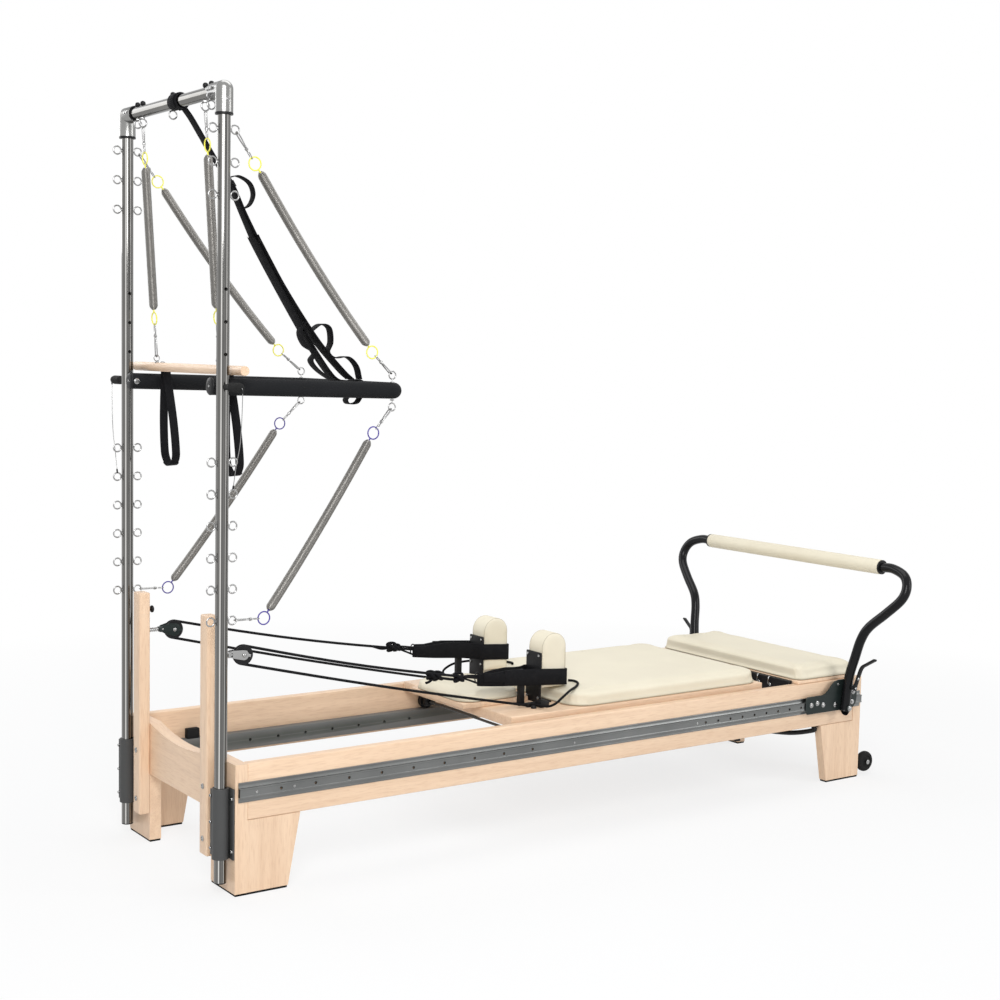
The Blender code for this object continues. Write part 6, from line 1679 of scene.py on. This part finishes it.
def build_foot_loop(side, name):
    """A wide padded webbing loop round the shoulder rest, with its narrow layered end."""
    low, high, thick = 0.438, 0.488, 0.004
    half = thick / 2
    rest_foot, rest_out, rest_in = 1.1953 + half, 0.1933 + half, 0.1177 - half
    line = [(0.880, 0.176), (0.872, 0.181), (0.880, 0.187), (0.930, 0.1945),
            (1.00, rest_out + 0.001),
            (1.08, rest_out), (1.15, rest_out), (rest_foot - 0.010, rest_out),
            (rest_foot - 0.001, rest_out - 0.006), (rest_foot, 0.175), (rest_foot, 0.136),
            (rest_foot - 0.001, rest_in + 0.006), (rest_foot - 0.010, rest_in), (1.14, rest_in),
            (1.092, rest_in), (1.076, 0.128), (1.040, 0.149), (0.99, 0.156), (0.935, 0.160)]
    smooth = flow([(u, v, 0) for u, v in line], 5, True)
    spots = [(HEAD + p.x, side * p.y) for p in smooth]
    loop = band(spots, high - low, thick, 'Z', (low + high) / 2, True)
    for corner in loop.data.vertices:
        share = min(1.0, max(0.0, (HEAD + 0.985 - corner.co.x) / 0.105))
        corner.co.z = low + (corner.co.z - low) * (1 - 0.32 * share)
    cover(loop, WEBBING)
    outer = flow([(0.955, 0.199, 0), (1.02, rest_out + 0.005, 0), (1.10, rest_out + 0.0035, 0),
                  (1.185, rest_out + 0.0035, 0)], 6)
    sleeve = band([(HEAD + p.x, side * p.y) for p in outer], 0.046, 0.004, 'Z', 0.463)
    cover(sleeve, PADDED_WEBBING)
    layers = []
    for k, (x0, x1, wide) in enumerate(((0.878, 0.985, 0.030), (0.884, 0.958, 0.027))):
        y = 0.1895 + 0.0036 * (k + 1)
        run = flow([(x0, y - 0.004, 0), ((x0 + x1) / 2, y + 0.001, 0), (x1, y + 0.003, 0)], 5)
        layers.append(cover(band([(HEAD + p.x, side * p.y) for p in run], wide, 0.0028, 'Z', 0.463),
                            WEBBING))
    webbing = join(loop, sleeve, *layers)
    for corner in webbing.data.vertices:
        share = (HEAD + 1.1953 - corner.co.x) / 0.323
        corner.co.z += 0.026 * (share if side > 0 else share - 1)
    fit(webbing, f"foot_loop_webbing_{name}", "carriage", "webbing", None, f"foot_loop_{name}")
    ring = [at(0.869 + 0.0085 * math.cos(a), side * LOOP_Y, LOOP_END[side] + 0.0165 * math.sin(a))
            for a in round_angles(24)]
    fit(swept(ring, 0.0019, closed=True, resolution=2), f"foot_loop_ring_{name}", "carriage",
        "stainless", PLASTIC)


def build_rollers():
    """Rollers with hubs at the ends of two axles."""
    for label, x in (("front", FRONT_AXLE_X), ("rear", REAR_AXLE_X)):
        pieces = [turned([(0.0042, -0.2947), (0.0042, 0.2947)], at(x, 0, AXLE_Z), (0, 1, 0), 24)]
        for side in (-1, 1):
            pieces.append(turned([(0.0100, -0.0098), (0.0105, -0.0092), (0.0200, -0.0085),
                                  (0.0232, -0.0098), (0.0240, -0.0088), (0.0240, 0.0088),
                                  (0.0232, 0.0098), (0.0200, 0.0085), (0.0105, 0.0092),
                                  (0.0100, 0.0098)], at(x, side * 0.3047, AXLE_Z), (0, 1, 0), 48))
        cover(pieces[0], GREY_COAT)
        for roller in pieces[1:]:
            cover(roller, PLASTIC)
        fit(join(*pieces), f"{label}_roller_set", f"{label}_axle", "black_plastic", None,
            f"{label}_rollers")


def build_carriage_springs():
    """Five springs below the carriage, between its anchor bar and the spring bar."""
    z = SPRING_Z
    anchor = block(at(1.438, -0.164, z - 0.012), at(1.450, 0.164, 0.3297), 0.001, 2)
    coils, hooks = [], []
    for k in range(5):
        y = (k - 2) * 0.070
        start, end = at(1.462, y, z), at(2.004, y, z)
        coils.append(swept(coil_route(start, end, 0.0104, 165, 0.0, 12, 3), 0.0016,
                           resolution=1))
        for x0, x1 in ((1.448, 1.464), (2.002, 2.0215)):
            hooks.append(swept(flow([at(x0, y, z + 0.004), at(x0 + 0.004, y, z - 0.005),
                                     at((x0 + x1) / 2, y, z - 0.005), at(x1, y, z)], 4), 0.0017,
                               resolution=2))
    coil = join(*coils)
    fit(coil, "carriage_spring_coils", None, "spring_steel", SPRING_STEEL, "carriage_springs")
    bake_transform(coil)
    fit(anchor, "spring_anchor", "carriage", "grey_powder", GREY_COAT)
    head_hooks = [hook for i, hook in enumerate(hooks) if i % 2 == 0]
    foot_hooks = [hook for i, hook in enumerate(hooks) if i % 2 == 1]
    fit_bright(head_hooks, "spring_hooks_carriage", "carriage")
    fit_bright(foot_hooks, "spring_hooks_frame")


# Platform and footbar

def build_platform():
    """The standing platform, and the bar that takes the springs' ends."""
    board = block(at(2.050, -0.345, 0.3503), at(2.320, 0.345, 0.3623), 0.003, 3)
    fit(board, "platform_wood", "frame", "maple", MAPLE_ACROSS, "platform_board")
    build_pad("platform_cushion", "frame", "platform_pad", 2.050, 2.320, 0.345, 0.3627, 0.408,
              0.030)
    bar = block(at(2.030, -0.3197, 0.300), at(2.048, 0.3197, 0.360), 0.0025, 3)
    fit(bar, "spring_bar_plate", "frame", "grey_powder", PLASTIC, "spring_bar")
    buttons = [turned([(0.0035, 0.0), (0.0035, 0.0050), (0.0062, 0.0056), (0.0066, 0.0080),
                       (0.0050, 0.0098), (0.0006, 0.0102)], at(2.0302, y, SPRING_Z), (-1, 0, 0),
                      sides=24, angle=60) for y in (-0.14, -0.07, 0.0, 0.07, 0.14)]
    for k in range(10):
        y = -0.234 + 0.052 * k
        hook = flow([at(2.0302, y, 0.336), at(2.0240, y, 0.337), at(2.0215, y, 0.345),
                     at(2.0225, y, 0.356), at(2.0275, y, 0.3615)], 4)
        buttons.append(swept(hook, 0.0024, resolution=2))
        buttons.append(put(hex_bolt(0.0042, 0.0024), at(2.0300, y, 0.3345), (-1, 0, 0)))
    fit_bright(buttons, "spring_buttons")


FOOT_X, FOOT_Z, FOOT_TILT, FOOT_TOP = 2.237, 0.261, math.radians(13.2), 0.487
ARM_OUT = 0.3846
ARM_SHAPE = ((0.100, 0.0014), (0.177, 0.0154), (0.240, 0.0274), (0.285, 0.0504),
             (0.340, 0.1079), (0.392, 0.1554), (0.434, 0.1629), (0.469, 0.1404))


def footbar_spot(rise, out, side):
    """A place on the footbar: a length up its tilted plane and a distance out."""
    bow = 0.020 * math.sin(math.pi * min(1.0, max(0.0, rise) / FOOT_TOP))
    return at(FOOT_X + rise * math.sin(FOOT_TILT) - bow, side * out,
              FOOT_Z + rise * math.cos(FOOT_TILT))


def build_footbar():
    """The bent tube with its padded grip, its brackets and the two levers."""
    half = [(-0.014, 0.0), (0.0, 0.0), *ARM_SHAPE]
    route = [footbar_spot(rise, ARM_OUT + out, -1) for rise, out in half]
    route.append(footbar_spot(FOOT_TOP, ARM_OUT + 0.0879, -1))
    route.append(footbar_spot(FOOT_TOP, ARM_OUT + 0.0399, -1))
    route = flow(route, 8)
    other = [Vector((p.x, -p.y, p.z)) for p in reversed(route)]
    tube = swept(route + other, 0.016, resolution=7)
    fit(tube, "footbar_bend", "footbar", "black_gloss", GLOSS_BLACK, "footbar_tube")
    top = footbar_spot(FOOT_TOP, 0, 1)
    grip = bored([(0.0166, -0.4190), (0.0215, -0.4196), (0.0238, -0.4180), (0.0250, -0.4130),
                  (0.0251, -0.30), (0.0250, 0.0), (0.0251, 0.30), (0.0250, 0.4130),
                  (0.0238, 0.4180), (0.0215, 0.4196), (0.0166, 0.4190)], top, (0, 1, 0), 48, 60)
    fit(grip, "footbar_grip", "footbar", "cream_vinyl", CREAM, "footbar_sleeve")
    seam = swept([top + Vector((0.0249 * math.cos(1.1), y, -0.0249 * math.sin(1.1)))
                  for y in (-0.415, 0.0, 0.415)], 0.0009, resolution=2)
    fit(seam, "footbar_grip_seam", "footbar", "cream_vinyl", CREAM_SEAM_PAINTED_SHADE)
    rings = [turned([(0.0166, 0.0), (0.0236, 0.0), (0.0242, 0.0008), (0.0242, 0.0046),
                     (0.0230, 0.0058), (0.0166, 0.0060)], top + Vector((0, side * 0.4192, 0)),
                    (0, side, 0), sides=40) for side in (-1, 1)]
    fit_black(rings, "footbar_end_rings", "footbar")
    for side, name in SIDES:
        build_bracket(side, name)
        build_lever(side, name)


def build_bracket(side, name):
    """The bracket plate on the outer track, its pivot and bolts."""
    foot, head, low, step, high = 2.310, 2.070, 0.250, 0.309, 0.354
    outline = [(head + 0.006, low), (foot - 0.030, low), (foot - 0.014, low + 0.005),
               (foot - 0.004, low + 0.016), (foot, low + 0.032), (foot, step - 0.009),
               (foot - 0.006, step + 0.006), (foot - 0.018, step + 0.022),
               (foot - 0.034, high - 0.008), (foot - 0.055, high), (foot - 0.090, high),
               (foot - 0.108, high - 0.004), (foot - 0.122, high - 0.014),
               (foot - 0.138, step + 0.014), (foot - 0.152, step + 0.003), (foot - 0.165, step),
               (head + 0.006, step), (head, step - 0.006), (head, low + 0.006)]
    plate_piece = shaped_plate([[(HEAD + u, v) for u, v in outline]], 0.005, 0.0008, 'Y',
                               (0, side * 0.3658, 0))
    boss = turned([(0.0050, 0.0), (0.0050, 0.0350), (0.0100, 0.0353), (0.0104, 0.0360),
                   (0.0104, 0.0385), (0.0092, 0.0396)], at(FOOT_X, side * 0.3660, FOOT_Z),
                  (0, side, 0), sides=28)
    fit(join(plate_piece, boss), f"footbar_plate_{name}", "frame", "grey_powder", GREEN_BLACK,
        f"footbar_bracket_{name}")
    bolts = [put(hex_bolt(0.0062, 0.0042), at(x, side * 0.3690, z), (0, side, 0))
             for x, z in ((2.092, 0.280), (2.120, 0.284), (2.148, 0.276), (2.288, 0.272),
                           (2.254, 0.322), (2.292, 0.306), (2.206, 0.270))]
    bolts.append(put(hex_bolt(0.0066, 0.0046), at(FOOT_X, side * 0.4058, FOOT_Z), (0, side, 0)))
    bolts.append(put(socket_bolt(0.0050, 0.0040), at(2.215, side * 0.3684, 0.340), (0, side, 0)))
    fit_bright(bolts, f"footbar_bolts_{name}")


def build_lever(side, name):
    """The curved release lever beside an arm, with its pivot."""
    base = footbar_spot(0.072, ARM_OUT + 0.0014 + 0.016 + 0.0006 + 0.005, side)
    line = flow([(0, -0.008, 0), (0, 0.010, 0), (side * 0.005, 0.046, 0), (side * 0.012, 0.073, 0),
                 (side * 0.030, 0.087, 0), (side * 0.062, 0.108, 0)], 5)
    strip = band([(p.x, p.y) for p in line], 0.0160, 0.0065, 'X', 0.0, False, 0.0015)
    strip.matrix_world = (Matrix.Translation(base) @ Matrix.Rotation(FOOT_TILT, 4, 'Y')
                          @ Matrix.Translation((0.006, side * 0.006, 0)))
    settle(strip)
    hub = turned([(0.0062, 0.0), (0.0066, 0.0006), (0.0066, 0.0100), (0.0062, 0.0106)],
                 base - Vector((0, side * 0.0056, 0)), (0, side, 0), sides=28)
    fit(join(strip, hub), f"release_lever_{name}", f"{name}_lever", "grey_powder", PLASTIC,
        f"lever_{name}")
    lean = Matrix.Rotation(FOOT_TILT, 4, 'Y')
    bolts = [put(hex_bolt(0.0044, 0.0034), base + lean @ Vector((0.006, side * out, up)),
                 (0, side, 0)) for out, up in ((0.0078, 0.0), (0.0112, 0.034))]
    fit_bright(bolts, f"lever_bolt_{name}", f"{name}_lever")


WHEEL_X, WHEEL_Y, WHEEL_Z = 2.394, 0.338, 0.046


def build_wheels():
    """The transport wheels on their brackets."""
    for side, name in SIDES:
        y = side * WHEEL_Y
        tyre = bored([(0.0048, -0.0095), (0.0195, -0.0095), (0.0215, -0.0120), (0.0255, -0.0122),
                      (0.0300, -0.0108), (0.0332, -0.0078), (0.0347, -0.0040), (0.0350, 0.0),
                      (0.0347, 0.0040), (0.0332, 0.0078), (0.0300, 0.0108), (0.0255, 0.0122),
                      (0.0215, 0.0120), (0.0195, 0.0095), (0.0048, 0.0095)],
                     at(WHEEL_X, y, WHEEL_Z), (0, 1, 0), 56)
        fit(tyre, f"wheel_tyre_{name}", f"{name}_wheel", "wheel_rubber", RUBBER, f"wheel_{name}")
        arm_in = WHEEL_Y - 0.01225 - 0.0006 - 0.005
        base = side_block(side, 2.3502, 2.355, arm_in - 0.020, arm_in + 0.005, 0.025, 0.1048,
                          0.0012, 2)
        arm = side_block(side, 2.3502, 2.4024, arm_in, arm_in + 0.005, 0.0334, 0.0586, 0.0018, 2)
        axle = turned([(0.0042, 0.0), (0.0042, 0.0300), (0.0078, 0.0303), (0.0078, 0.0340),
                       (0.0066, 0.0350)], at(WHEEL_X, side * (arm_in + 0.0025), WHEEL_Z),
                      (0, side, 0), 24)
        weld(base, arm)
        close(base, 30)
        fit(base, f"wheel_bracket_{name}", "frame", "grey_powder", GREEN_BLACK)
        bolts = [put(hex_bolt(0.0045, 0.0032), at(2.355, side * (arm_in - 0.010), z), (1, 0, 0))
                 for z in (0.040, 0.090)]
        fit(join(axle, *bolts), f"wheel_bolts_{name}", "frame", "stainless", BRIGHT)


def main():
    """Builds the camera and studio, then the reformer from the bed up."""
    set_up_camera()
    set_up_studio()
    build_bed()
    build_tracks()
    build_bow()
    build_uprights()
    build_bar_springs()
    build_push_bar()
    build_pins()
    build_strap()
    build_roll_down()
    build_pulleys()
    build_ropes()
    build_carriage()
    build_platform()
    build_footbar()
    build_wheels()


main()
